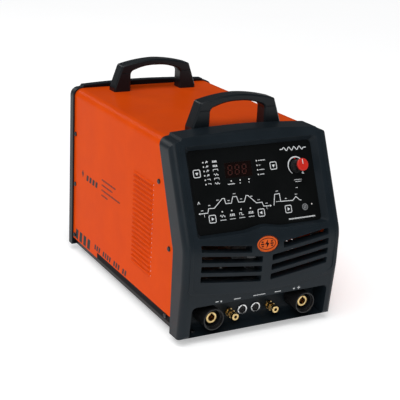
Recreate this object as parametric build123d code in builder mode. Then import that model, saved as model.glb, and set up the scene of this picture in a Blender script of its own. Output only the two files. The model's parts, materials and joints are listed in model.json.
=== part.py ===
from build123d import *

import os
from math import atan, cos, radians, sin, tan

os.makedirs("parts", exist_ok=True)

# A TIG welding power source in a sheet steel case with moulded end frames.
# Millimetres. X runs across, Y from the front to the rear, Z up from the floor.
# The origin is on the floor, under the middle of the machine.
# A depth is a distance behind the foremost point of the machine.

# --- Driving dimensions ---------------------------------------------------------------
WIDTH = 320.0  # over the moulded end frames
LENGTH = 552.0  # from the crown of the bezel to the tip of the cable gland
FRAME_TOP = 363.0  # top of both end frames
BODY_BOTTOM = 14.0  # underside of the frames and the tray
COVER_WIDTH = 312.0
COVER_TOP = 352.0
COVER_BEND = 17.0  # outer radius of the two long bends
COVER_ROOM = 0.4  # clearance of the frames round the cover
COVER_SLANT = 0.396  # slope of the cover's and the bezel's meeting edges above their bend
EDGE_DEPTH = 53.0  # depth of the bezel's rear edge below its bend
EDGE_BEND = 170.0  # height where that edge starts to lean back
COVER_SKIRT = 29.0  # height of the cover's lower edges
SHEET = 1.2  # steel sheet
MOULD = 3.0  # wall of the moulded plastic frames

# --- Bezel ----------------------------------------------------------------------------
LEAN_SLOPE = 0.44  # the control panel goes back this much for each unit of height
LEAN = atan(LEAN_SLOPE)
WAIST = 182.3  # height where the lean starts
WAIST_ROUND = 60.0
CHIN = 120.0  # below this height the front slopes back to its foot
CHIN_ROUND = 200.0
NOSE_DEPTH = 5.2  # depth of the bezel's upright front face
FOOT_DEPTH = 15.5
PILLAR_INNER = 151.0  # half width between the pillars
PILLAR_TOP = 353.3
PILLAR_ROUND = 13.0
BEAD = 6.0  # width of the moulded bead that frames the front
BEAD_RISE = 1.3
CROWN_RISES = [(80, 1.6), (110, 3.6), (146, 4.5), (172, 3.9), (196, 0.3)]  # height, swell of the middle
SMILE_SIDE = 119.0  # heights of the bead's lower curve at its ends and its middle
SMILE_LOW = 87.0

# --- Control panel, in its own plane: across, and up the slope from the opening's foot --
PANEL_SINK = 12.0  # depth of the faceplate below the bezel's front
PANEL_FOOT = 200.2  # height of the opening's lower lip
PANEL_HALF = 126.5  # half width of the visible faceplate
PANEL_LOW = 5.5
PANEL_HIGH = 152.0
PANEL_FLARE = 8.0  # how much wider the opening is at its lip
HUMP = 6.5  # rise of the opening's lower edge over the badge
FACEPLATE = 2.0
KEY_SIZE = 15.0
KEY_GAP = 0.35
KEY_THICK = 4.0
KEY_PROUD = 1.0
KEYS = {
    "key_mode": (-112.6, 111.7),
    "key_unit": (41.5, 111.7),
    "key_back": (-95.0, 31.7),
    "key_forward": (2.9, 31.7),
    "key_pulse": (59.5, 31.7),
}
GAS_KEY = (95.0, 31.7)
GAS_KEY_RADIUS = 6.5
KNOB = (89.5, 106.5)
DISPLAY = (-30.0, 111.8)
DISPLAY_SIZE = (54.0, 27.0)
LED_RADIUS = 1.3
LED_PITCH = 7.62

# --- Vents, badge and socket recess -----------------------------------------------------
SLOT_COUNT = 4
SLOT_PITCH = 18.3
SLOT_HEIGHT = 11.5
SLOT_OUTER = 130.0
SLOT_INNER = 9.8
SLOT_SHORT = 32.3  # inner end of the top slot, beside the badge
SLOT_RISE = 0.12
SLOT_TOP = 190.6  # height of the top slot's outer upper corner
SLOT_DEEP = 16.0
BADGE_Z = 178.0
BADGE_SIZE = (22.3, 14.4)
BADGE_DEPTH = 5.1
BADGE_TILT = 13.5
RECESS_HALF = 140.5
RECESS_TOP = 76.5
WALL_DEPTH = 52.0  # front of the recess's back wall
FLOOR_LIP = 15.5
FLOOR_SCREW = (123.5, 36.0)  # x and depth
FLOOR_BOSS = 5.2
FLOOR_BOSS_TOP = 17.7
SEAT_DEEP = 12.0  # how far the socket seats cut into the foot of the wall

WELD_X, WELD_Z = 95.4, 47.0
WELD_RIM_DEPTH = 10.6
WELD_RIM = 20.0
WELD_BORE = 6.5
GAS_X, GAS_Z = 42.2, 36.2
GAS_DEPTH = 25.4
REMOTE_X, REMOTE_Z = 14.0, 35.9
REMOTE_DEPTH = 49.4

# --- Case -------------------------------------------------------------------------------
PLATE_DEPTH = 55.5  # front face of the inner front plate
REAR_PLATE = 520.0  # front face of the rear panel
REAR_LIP = 518.5
REAR_FACE = 537.0
TRAY_HALF = 150.0
TRAY_FLANGE = 34.0
FOOT_X = 118.0
FOOT_DEPTHS = (61.0, 462.0)
FOOT_RADIUS = 15.0
SCREW_RADIUS = 2.0
SCREW_HOLE = 2.3
SCREW_HEAD = 4.6
REAR_SCREWS = [(511.0, 258.7), (511.0, 150.9)]
LOW_SCREWS = [(78.0, 36.5), (511.0, 38.0)]
FRONT_SCREWS = [(123.3, 272.6), (74.7, 164.4)]
FRAME_SCREWS = [(side * 146.0, height) for side in (-1, 1) for height in (48.0, 180.0, 322.0)]
LOUVRES = 20
LOUVRE_LOW = 87.5
LOUVRE_PITCH = 9.08
LOUVRE_DEPTHS = (145.6, 227.5)
LOUVRE_RISE = 2.6
LOUVRE_HEIGHT = 5.6

# --- Handles ------------------------------------------------------------------------------
HANDLE_DEPTHS = (145.7, 480.0)  # middles of the front and rear handles
HANDLE_THICK = 29.0
HANDLE_FOOT = 92.0
HANDLE_INNER = 56.2
HANDLE_SHOULDER = (75.6, 404.5)
HANDLE_TOP = 416.0
HANDLE_SCREW_X = 74.0
HANDLE_STEP = 389.0

# --- Inside -------------------------------------------------------------------------------
SHELF_Z = 196.0
FAN_SIZE = 152.0
FAN_Z = 118.0
FAN_THICK = 38.0


def behind(depth):
    """Y of a point at this depth behind the foremost point of the machine."""
    return depth - LENGTH / 2


def facing_front(depth):
    """Upright plane at a depth, looking forwards: X across and Z up."""
    return Plane.XZ.offset(-behind(depth))


def facing_rear(depth):
    """Upright plane at a depth, looking backwards."""
    return Plane(origin=(0, behind(depth), 0), x_dir=(-1, 0, 0), z_dir=(0, 1, 0))


def front_depth(height):
    """Depth of the bezel's leaning front at a height above the waist."""
    return NOSE_DEPTH + LEAN_SLOPE * (height - WAIST)


def nose_depth(height):
    """Depth of the bezel's front at any height, with its two rounded corners."""
    foot_slope = (FOOT_DEPTH - NOSE_DEPTH) / (CHIN - BODY_BOTTOM)
    depth = NOSE_DEPTH + max(0.0, CHIN - height) * foot_slope
    depth += max(0.0, height - WAIST) * LEAN_SLOPE
    for corner, round_radius, turn in ((CHIN, CHIN_ROUND, atan(foot_slope)), (WAIST, WAIST_ROUND, LEAN)):
        reach = round_radius * tan(turn / 2)
        depth += max(0.0, reach - abs(height - corner)) ** 2 / (2 * round_radius)
    return depth


def panel_plane(sink):
    """Plane of the control panel, this far below the bezel's leaning front."""
    return Plane(
        origin=(0, behind(front_depth(PANEL_FOOT)) + sink * cos(LEAN), PANEL_FOOT - sink * sin(LEAN)),
        x_dir=(1, 0, 0),
        z_dir=(0, -cos(LEAN), sin(LEAN)),
    )


def badge_plane(rise):
    """Plane of the badge on the crowned front, this far above its surface."""
    tilt = radians(BADGE_TILT)
    return Plane(
        origin=(0, behind(BADGE_DEPTH) - rise * cos(tilt), BADGE_Z + rise * sin(tilt)),
        x_dir=(1, 0, 0),
        z_dir=(0, -cos(tilt), sin(tilt)),
    )


def save(piece, name):
    """Label a finished piece and write it to its own file."""
    piece.part.label = name
    export_step(piece.part, f"parts/{name}.step")


def side_profile(inset=0.0, top=FRAME_TOP, top_round=11.0, overrun=0.0):
    """Side outline of the bezel: upright nose, leaning panel and slanted rear edge."""
    foot = behind(FOOT_DEPTH)
    with BuildSketch(Plane.YZ) as profile:
        with BuildLine():
            Polyline(
                (behind(EDGE_DEPTH), BODY_BOTTOM),
                (foot, BODY_BOTTOM),
                (behind(NOSE_DEPTH), CHIN),
                (behind(NOSE_DEPTH), WAIST),
                (behind(front_depth(top)), top),
                (behind(EDGE_DEPTH + (top - EDGE_BEND) * COVER_SLANT), top),
                (behind(EDGE_DEPTH), EDGE_BEND),
                (behind(EDGE_DEPTH), BODY_BOTTOM),
            )
        make_face()
        nose = profile.vertices().filter_by(lambda v: v.X < behind(NOSE_DEPTH) + 0.1)
        fillet(nose.sort_by(Axis.Y)[0], CHIN_ROUND)
        nose = profile.vertices().filter_by(lambda v: v.X < behind(NOSE_DEPTH) + 0.1)
        fillet(nose.filter_by(lambda v: v.Y > CHIN + 30), WAIST_ROUND)
        fillet(profile.vertices().group_by(Axis.Y)[-1].sort_by(Axis.X)[0], top_round)
        fillet(profile.vertices().group_by(Axis.Y)[0].sort_by(Axis.X)[0], 9)
        if inset:
            offset(amount=-inset)
        if overrun:
            add(profile.face().moved(Location((overrun, 0, 0))))
    return profile.sketch


def stepped_outline(plane, inset=0.0):
    """Front outline of both end frames: low rounded shoulders and a crowned top."""
    half = WIDTH / 2
    with BuildSketch(plane) as outline:
        with BuildLine():
            Polyline((0, BODY_BOTTOM), (half, BODY_BOTTOM), (half, PILLAR_TOP - 16))
            ThreePointArc((half, PILLAR_TOP - 16), (half - 4.8, PILLAR_TOP - 4.6), (half - 16, PILLAR_TOP))
            Polyline((half - 16, PILLAR_TOP), (half - 20.5, PILLAR_TOP + 0.8), (half - 23, PILLAR_TOP + 5))
            ThreePointArc((half - 23, PILLAR_TOP + 5), (70, FRAME_TOP - 1.4), (0, FRAME_TOP))
            Line((0, FRAME_TOP), (0, BODY_BOTTOM))
        make_face()
        mirror(about=Plane.YZ)
        if inset:
            offset(amount=-inset)
    return outline.sketch


def cover_outline(plane, grow=0.0):
    """Section of the cover filled in: upright sides, two long bends and a flat top."""
    half = COVER_WIDTH / 2 + grow
    with BuildSketch(plane) as outline:
        with Locations((0, (COVER_TOP + grow) / 2)):
            Rectangle(2 * half, COVER_TOP + grow)
        fillet(outline.vertices().group_by(Axis.Y)[-1], COVER_BEND + grow)
    return outline.sketch


def front_line(start, end):
    """The bezel's front line seen from the side, from one height to another."""
    lean_end = (behind(front_depth(end)), end)
    foot_slope = (FOOT_DEPTH - NOSE_DEPTH) / (CHIN - BODY_BOTTOM)
    foot = (behind(FOOT_DEPTH + foot_slope * (BODY_BOTTOM - start)), start)
    with BuildLine(Plane.YZ) as line:
        FilletPolyline(
            foot,
            (behind(NOSE_DEPTH), CHIN),
            (behind(NOSE_DEPTH), WAIST),
            lean_end,
            radius=(CHIN_ROUND, WAIST_ROUND),
        )
    return line.line


def bead_outline(inset):
    """Outline of the front's framed middle: straight sides and a sagging lower curve."""
    half = PILLAR_INNER - inset
    low = SMILE_LOW + inset
    side = SMILE_SIDE - 15 + inset
    with BuildSketch(facing_front(-20)) as outline:
        with BuildLine():
            Polyline((0, 400), (half, 400), (half, side))
            ThreePointArc((half, side), (half * 0.55, low + (side - low) * 0.32), (0, low))
            Line((0, low), (0, 400))
        make_face()
        mirror(about=Plane.YZ)
        corners = outline.vertices().filter_by(lambda v: abs(v.Y - side) < 0.01)
        fillet(corners, 11)
    return outline.sketch


# The front's crowned middle, lofted through level sections that swell towards it.
CROWN_HALF = PILLAR_INNER - BEAD / 2
CROWN_BACK = behind(38)
with BuildPart() as crown_form:
    for height, rise in CROWN_RISES:
        edge = behind(nose_depth(height)) - 0.4
        with BuildSketch(Plane.XY.offset(height)):
            with BuildLine():
                ThreePointArc((-CROWN_HALF, edge), (0, edge - rise), (CROWN_HALF, edge))
                Polyline(
                    (CROWN_HALF, edge),
                    (CROWN_HALF, CROWN_BACK),
                    (-CROWN_HALF, CROWN_BACK),
                    (-CROWN_HALF, edge),
                )
            make_face()
    loft()
    extrude(bead_outline(BEAD * 0.5), amount=-100, mode=Mode.INTERSECT)

# A band along the bead's outline, cut to the skin of a slightly swollen bezel.
with BuildPart() as bead_form:
    section_path = front_line(0, 400)
    with BuildSketch(Plane(origin=section_path @ 0, x_dir=(1, 0, 0), z_dir=section_path % 0)):
        with Locations((0, 20 - BEAD_RISE)):
            Rectangle(2 * PILLAR_INNER + 4, 40)
    sweep(path=section_path)
    extrude(bead_outline(0), amount=-160, mode=Mode.INTERSECT)
    extrude(bead_outline(BEAD), amount=-160, mode=Mode.SUBTRACT)
    extrude(side_profile(inset=-BEAD_RISE), amount=WIDTH, both=True, mode=Mode.INTERSECT)

def panel_opening(sink, grow=0.0):
    """Outline of the panel opening at a depth below the bezel's front, with its hump."""
    closing = sink / PANEL_SINK
    half = PANEL_HALF + PANEL_FLARE * (1 - closing) + grow
    low = PANEL_LOW * closing - grow
    high = PANEL_HIGH + (PANEL_LOW + 1) * (1 - closing) + grow
    with BuildSketch(panel_plane(sink)) as opening:
        with BuildLine():
            Polyline((-48, low), (-half, low), (-half, high), (half, high), (half, low), (48, low))
            Spline((48, low), (0, low + HUMP), (-48, low), tangents=((-1, 0), (-1, 0)))
        make_face()
        corners = opening.vertices().filter_by(lambda v: abs(v.X) > half - 0.1)
        fillet(corners, 7)
    return opening.sketch


def vent_slot(number, side):
    """Outline of one vent slot, which rises outwards; number 0 is at the top."""
    inner = SLOT_SHORT if number == 0 else SLOT_INNER
    outer_top = SLOT_TOP - number * SLOT_PITCH
    inner_top = outer_top - (SLOT_OUTER - inner) * SLOT_RISE
    with BuildSketch(facing_front(-10)) as slot:
        with BuildLine():
            Polyline(
                (side * inner, inner_top),
                (side * SLOT_OUTER, outer_top),
                (side * SLOT_OUTER, outer_top - SLOT_HEIGHT),
                (side * inner, inner_top - SLOT_HEIGHT),
                close=True,
            )
        make_face()
        fillet(slot.vertices(), 1.6)
    return slot.sketch


# The socket recess: a flat back wall that sweeps forwards into a floor.
with BuildPart() as recess_form:
    with BuildSketch(Plane.YZ) as recess_side:
        with BuildLine():
            Polyline(
                (behind(-10), RECESS_TOP),
                (behind(WALL_DEPTH), RECESS_TOP),
                (behind(WALL_DEPTH), FLOOR_LIP + 3.5),
                (behind(26), FLOOR_LIP),
                (behind(-10), FLOOR_LIP - 1),
                close=True,
            )
        make_face()
        back = recess_side.vertices().group_by(Axis.X)[-1]
        fillet(back.sort_by(Axis.Y)[0], 13)
        fillet(back.sort_by(Axis.Y)[-1], 3)
    extrude(amount=RECESS_HALF, both=True)
    with BuildSketch(facing_front(-10)) as recess_front:
        with Locations((0, RECESS_TOP - 50)):
            RectangleRounded(2 * RECESS_HALF, 100, 9)
    extrude(amount=-80, mode=Mode.INTERSECT)

# The hollow of the bezel, less what stays solid inside it: the vent block, the
# collar round the panel opening and the walls of the socket recess.
with BuildPart() as bezel_hollow:
    hollow_path = front_line(0, 400)
    with BuildSketch(Plane(origin=hollow_path @ 0, x_dir=(1, 0, 0), z_dir=hollow_path % 0)) as section:
        with Locations((0, 45 + MOULD)):
            Rectangle(WIDTH - 2 * MOULD, 90)
        fillet(section.vertices().group_by(Axis.Y)[0], PILLAR_ROUND - MOULD)
    sweep(path=hollow_path)
    extrude(side_profile(inset=MOULD, overrun=8), amount=WIDTH, both=True, mode=Mode.INTERSECT)
    extrude(stepped_outline(facing_front(-20), inset=MOULD), amount=-200, mode=Mode.INTERSECT)
    with BuildSketch(facing_front(-10)):
        with Locations((0, 151)):
            Rectangle(2 * SLOT_OUTER + 12, 92)
    extrude(amount=-(10 + SLOT_DEEP + NOSE_DEPTH), mode=Mode.SUBTRACT)
    loft([panel_opening(-6, MOULD), panel_opening(PANEL_SINK, MOULD)], ruled=True, mode=Mode.SUBTRACT)
    with BuildSketch(facing_front(-10)):
        with Locations((0, (RECESS_TOP + MOULD) / 2)):
            Rectangle(2 * (RECESS_HALF + MOULD), RECESS_TOP + MOULD)
    extrude(amount=-100, mode=Mode.SUBTRACT)

# Room inside the frames for the cover's sheet, open towards the inside of the case
with BuildPart() as cover_room:
    extrude(cover_outline(facing_front(36), COVER_ROOM), amount=-(LENGTH - 36))
    extrude(cover_outline(facing_front(36), -SHEET - COVER_ROOM), amount=-(LENGTH - 36), mode=Mode.SUBTRACT)
    with BuildSketch(Plane.YZ):
        with BuildLine():
            Polyline(
                (behind(36), COVER_SKIRT - COVER_ROOM),
                (behind(36), WAIST),
                (behind(36 + COVER_SLANT * (400 - WAIST)), 400),
                (behind(REAR_PLATE + 2.2), 400),
                (behind(REAR_PLATE + 2.2), COVER_SKIRT - COVER_ROOM),
                close=True,
            )
        make_face()
    extrude(amount=WIDTH, both=True, mode=Mode.INTERSECT)

with BuildPart() as front_bezel:
    section_path = front_line(0, 400)
    with BuildSketch(Plane(origin=section_path @ 0, x_dir=(1, 0, 0), z_dir=section_path % 0)) as section:
        with Locations((0, 35)):
            Rectangle(WIDTH, 70)
        fillet(section.vertices().group_by(Axis.Y)[0], PILLAR_ROUND)
    sweep(path=section_path)
    extrude(side_profile(), amount=WIDTH, both=True, mode=Mode.INTERSECT)
    add(crown_form.part)
    add(bead_form.part)
    extrude(stepped_outline(facing_front(-20)), amount=-200, mode=Mode.INTERSECT)
    for number in range(SLOT_COUNT):
        for side in (-1, 1):
            extrude(vent_slot(number, side), amount=-60, mode=Mode.SUBTRACT)
    # Pocket for the badge, on the crowned middle
    with BuildSketch(badge_plane(-1.4)):
        Ellipse(BADGE_SIZE[0] + 0.3, BADGE_SIZE[1] + 0.3)
    extrude(amount=8, mode=Mode.SUBTRACT)
    loft([panel_opening(-6), panel_opening(PANEL_SINK)], ruled=True, mode=Mode.SUBTRACT)
    add(bezel_hollow.part, mode=Mode.SUBTRACT)
    # Back wall of the recess
    with BuildSketch(facing_front(30)):
        with Locations((0, (BODY_BOTTOM + RECESS_TOP + MOULD) / 2)):
            Rectangle(2 * (RECESS_HALF + MOULD), RECESS_TOP + MOULD - BODY_BOTTOM)
    extrude(amount=-(WALL_DEPTH + MOULD - 30))
    add(recess_form.part, mode=Mode.SUBTRACT)
    # Seats for the sockets, spot-faced into the foot of the back wall
    with BuildSketch(facing_front(WALL_DEPTH - SEAT_DEEP)):
        with Locations((-WELD_X, WELD_Z), (WELD_X, WELD_Z)):
            Circle(WELD_RIM + 0.4)
        with Locations((-GAS_X, GAS_Z), (GAS_X, GAS_Z)):
            Circle(9)
        with Locations((-REMOTE_X, REMOTE_Z), (REMOTE_X, REMOTE_Z)):
            Circle(10.5)
    extrude(amount=-SEAT_DEEP, mode=Mode.SUBTRACT)
    # Holes in the recess's back wall
    with BuildSketch(facing_front(40)):
        with Locations((-WELD_X, WELD_Z), (WELD_X, WELD_Z)):
            Circle(15)
        with Locations((-GAS_X, GAS_Z), (GAS_X, GAS_Z)):
            Circle(6.3)
        with Locations((-REMOTE_X, REMOTE_Z), (REMOTE_X, REMOTE_Z)):
            Circle(8.3)
    extrude(amount=-30, mode=Mode.SUBTRACT)
    # Bosses for the two floor screws
    floor_screws = [(side * FLOOR_SCREW[0], behind(FLOOR_SCREW[1])) for side in (-1, 1)]
    with BuildSketch(Plane.XY.offset(BODY_BOTTOM)):
        with Locations(*floor_screws):
            Circle(FLOOR_BOSS)
    extrude(amount=FLOOR_BOSS_TOP - BODY_BOTTOM)
    with BuildSketch(Plane.XY):
        with Locations(*floor_screws):
            Circle(SCREW_HOLE)
    extrude(amount=18, mode=Mode.SUBTRACT)
    # Room for the front edge of the cover
    add(cover_room.part, mode=Mode.SUBTRACT)
save(front_bezel, "front_bezel")


# --- Control panel --------------------------------------------------------------------
LED_PLACES = [(-97.5, 91.7 + LED_PITCH * row) for row in range(6)]
LED_PLACES += [(8.7, 99.0 + 8.2 * row) for row in range(4)]
LED_PLACES += [(-47.4 + 17.8 * column, 93.0) for column in range(3)]
LED_PLACES += [(-73.8 + 18.8 * column, 42.1) for column in range(4)]
LED_PLACES += [(110.7, 35.6)]

with BuildPart() as faceplate:
    with BuildSketch(panel_plane(PANEL_SINK + FACEPLATE)):
        with Locations((0, (PANEL_LOW + PANEL_HIGH) / 2)):
            RectangleRounded(2 * PANEL_HALF + 12, PANEL_HIGH - PANEL_LOW + 12, 5)
        with Locations(*KEYS.values()):
            RectangleRounded(KEY_SIZE + 2 * KEY_GAP, KEY_SIZE + 2 * KEY_GAP, 2.2, mode=Mode.SUBTRACT)
        with Locations(GAS_KEY):
            Circle(GAS_KEY_RADIUS + KEY_GAP, mode=Mode.SUBTRACT)
        with Locations(KNOB):
            Circle(3.6, mode=Mode.SUBTRACT)
        with Locations(*LED_PLACES):
            Circle(LED_RADIUS + 0.15, mode=Mode.SUBTRACT)
        with Locations(DISPLAY):
            Rectangle(DISPLAY_SIZE[0] + 0.3, DISPLAY_SIZE[1] + 0.3, mode=Mode.SUBTRACT)
    extrude(amount=FACEPLATE)
save(faceplate, "faceplate")

with BuildPart() as display_window:
    with BuildSketch(panel_plane(PANEL_SINK + FACEPLATE)):
        with Locations(DISPLAY):
            Rectangle(*DISPLAY_SIZE)
    extrude(amount=FACEPLATE - 0.2)
save(display_window, "display_window")

# Three seven-segment digits on their block, behind the window
SEGMENT = 1.3
DIGIT_PITCH = 14.5
with BuildPart() as display_digits:
    with BuildSketch(panel_plane(PANEL_SINK + 9)):
        with Locations((DISPLAY[0] - 2, DISPLAY[1])):
            Rectangle(46, 22)
    extrude(amount=6)
    with BuildSketch(panel_plane(PANEL_SINK + 3)):
        for digit in (-1, 0, 1):
            with Locations((DISPLAY[0] - 2 + digit * DIGIT_PITCH, DISPLAY[1])):
                with GridLocations(0, 8, 1, 3):
                    Rectangle(6, SEGMENT)
                with GridLocations(8, 8, 2, 2):
                    Rectangle(SEGMENT, 6)
    extrude(amount=0.3)
save(display_digits, "display_digits")

with BuildPart() as status_leds:
    with BuildSketch(panel_plane(PANEL_SINK + 6)):
        with Locations(*LED_PLACES):
            Circle(LED_RADIUS)
    extrude(amount=6.3)
save(status_leds, "status_leds")


def key(place, round_key=False):
    """One key: a cap through the faceplate, with a wider flange that keeps it in."""
    with BuildPart() as cap:
        with BuildSketch(panel_plane(PANEL_SINK + KEY_THICK)):
            with Locations(place):
                if round_key:
                    Circle(GAS_KEY_RADIUS)
                else:
                    RectangleRounded(KEY_SIZE, KEY_SIZE, 2)
        extrude(amount=KEY_THICK + KEY_PROUD)
        rim = cap.faces().sort_by(Axis((0, 0, 0), (0, -cos(LEAN), sin(LEAN))))[-1].edges()
        fillet(rim, 0.4)
        with BuildSketch(panel_plane(PANEL_SINK + KEY_THICK)):
            with Locations(place):
                if round_key:
                    Circle(GAS_KEY_RADIUS + 1.6)
                else:
                    RectangleRounded(KEY_SIZE + 3.2, KEY_SIZE + 3.2, 3)
        extrude(amount=KEY_THICK - FACEPLATE - 0.1)
    return cap


for name, place in KEYS.items():
    save(key(place), name)
save(key(GAS_KEY, round_key=True), "key_gas_test")

KNOB_FOOT = PANEL_SINK - 0.6
KNOB_BODY = 19.5
KNOB_CAP = 3.5
with BuildPart() as knob_body:
    with BuildSketch(panel_plane(KNOB_FOOT)):
        with Locations(KNOB):
            Circle(12.2)
    extrude(amount=2)
    with BuildSketch(panel_plane(KNOB_FOOT - 2)):
        with Locations(KNOB):
            Circle(11.4)
    extrude(amount=KNOB_BODY - 2, taper=1.5)
    # Grip flutes
    with BuildSketch(panel_plane(KNOB_FOOT - 3)):
        with Locations(KNOB):
            with PolarLocations(11.7, 20):
                Circle(0.9)
    extrude(amount=KNOB_BODY, mode=Mode.SUBTRACT)
    # Shaft of the encoder, fixed in the knob
    with BuildSketch(panel_plane(PANEL_SINK + FACEPLATE + 6)):
        with Locations(KNOB):
            Circle(3)
    extrude(amount=FACEPLATE + 6.7)
save(knob_body, "knob_body")

with BuildPart() as knob_cap:
    with BuildSketch(panel_plane(KNOB_FOOT - KNOB_BODY)):
        with Locations(KNOB):
            Circle(11.3)
    extrude(amount=KNOB_CAP)
    top = knob_cap.faces().sort_by(Axis((0, 0, 0), (0, -cos(LEAN), sin(LEAN))))[-1]
    fillet(top.edges(), 1.2)
    with BuildSketch(panel_plane(KNOB_FOOT - KNOB_BODY - KNOB_CAP + 0.5)):
        with Locations((KNOB[0], KNOB[1] + 5.2)):
            Rectangle(1.5, 9)
    extrude(amount=3, mode=Mode.SUBTRACT)
save(knob_cap, "knob_cap")

with BuildPart() as encoder:
    with BuildSketch(panel_plane(PANEL_SINK + FACEPLATE + 9)):
        with Locations(KNOB):
            Rectangle(15, 15)
    extrude(amount=8.6)
    with BuildSketch(panel_plane(PANEL_SINK + FACEPLATE + 6.5)):
        with Locations(KNOB):
            Circle(3.05)
    extrude(amount=8, mode=Mode.SUBTRACT)
save(encoder, "encoder")

with BuildPart() as control_board:
    with BuildSketch(panel_plane(PANEL_SINK + FACEPLATE + 13)):
        with Locations((0, 78)):
            Rectangle(236, 132)
        with Locations((-112, 18), (112, 18), (-112, 138), (112, 138)):
            Circle(1.8, mode=Mode.SUBTRACT)
    extrude(amount=1.6)
    # Switches behind the keys
    with BuildSketch(panel_plane(PANEL_SINK + FACEPLATE + 11.4)):
        with Locations(*KEYS.values(), GAS_KEY):
            Rectangle(6, 6)
    extrude(amount=6.5)
save(control_board, "control_board")

with BuildPart() as badge:
    with BuildSketch(badge_plane(-1.2)):
        Ellipse(*BADGE_SIZE)
    extrude(amount=1.6)
    with BuildSketch(badge_plane(0)):
        Ellipse(BADGE_SIZE[0] - 2, BADGE_SIZE[1] - 2)
    extrude(amount=2, mode=Mode.SUBTRACT)
save(badge, "badge")

# --- Case -------------------------------------------------------------------------------
TRAY_END = REAR_LIP - 1.5
with BuildPart() as base_tray:
    with BuildSketch(facing_front(WALL_DEPTH + MOULD + 0.3)) as tray_section:
        with Locations((0, BODY_BOTTOM + TRAY_FLANGE / 2)):
            Rectangle(2 * TRAY_HALF, TRAY_FLANGE)
        fillet(tray_section.vertices().group_by(Axis.Y)[0], 2.5)
        with Locations((0, BODY_BOTTOM + 1.5 + TRAY_FLANGE / 2)):
            Rectangle(2 * TRAY_HALF - 3, TRAY_FLANGE, mode=Mode.SUBTRACT)
    extrude(amount=-(TRAY_END - WALL_DEPTH - MOULD - 0.3))
    # Holes for the feet and air slots in the floor
    with BuildSketch(Plane.XY):
        with Locations(*[(side * FOOT_X, behind(depth)) for side in (-1, 1) for depth in FOOT_DEPTHS]):
            Circle(3.2)
        with GridLocations(60, 12, 3, 8):
            SlotOverall(40, 4)
    extrude(amount=30, mode=Mode.SUBTRACT)
    with BuildSketch(Plane.YZ):
        with Locations(*[(behind(depth), height) for depth, height in LOW_SCREWS]):
            Circle(SCREW_HOLE)
    extrude(amount=WIDTH, both=True, mode=Mode.SUBTRACT)
save(base_tray, "base_tray")

for row, depth in (("front", FOOT_DEPTHS[0]), ("rear", FOOT_DEPTHS[1])):
    for side_name, side in (("left", -1), ("right", 1)):
        with BuildPart() as foot:
            with BuildSketch(Plane.XY):
                with Locations((side * FOOT_X, behind(depth))):
                    Circle(FOOT_RADIUS - 1.5)
            extrude(amount=BODY_BOTTOM, taper=-5)
            fillet(foot.faces().sort_by(Axis.Z)[0].edges(), 2)
            # Neck through the tray, and the recess for the fixing screw
            with BuildSketch(Plane.XY):
                with Locations((side * FOOT_X, behind(depth))):
                    Circle(3)
            extrude(amount=BODY_BOTTOM + 6)
            with BuildSketch(Plane.XY):
                with Locations((side * FOOT_X, behind(depth))):
                    Circle(5)
            extrude(amount=5, mode=Mode.SUBTRACT)
        save(foot, f"foot_{row}_{side_name}")

# One pressed louvre: a rounded bar on the sheet's outside with a slot under it
with BuildPart() as louvre_bar:
    with BuildSketch(facing_front(LOUVRE_DEPTHS[0])) as bar_section:
        with BuildLine():
            side_x = COVER_WIDTH / 2 - 0.4
            ThreePointArc(
                (side_x, LOUVRE_HEIGHT / 2),
                (side_x + LOUVRE_RISE + 0.4, -0.4),
                (side_x, -LOUVRE_HEIGHT / 2),
            )
            Line((side_x, -LOUVRE_HEIGHT / 2), (side_x, LOUVRE_HEIGHT / 2))
        make_face()
    extrude(amount=-(LOUVRE_DEPTHS[1] - LOUVRE_DEPTHS[0]))
    ends = louvre_bar.faces().filter_by(Axis.Y).edges().filter_by(GeomType.CIRCLE)
    fillet(ends, 1.6)

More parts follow.
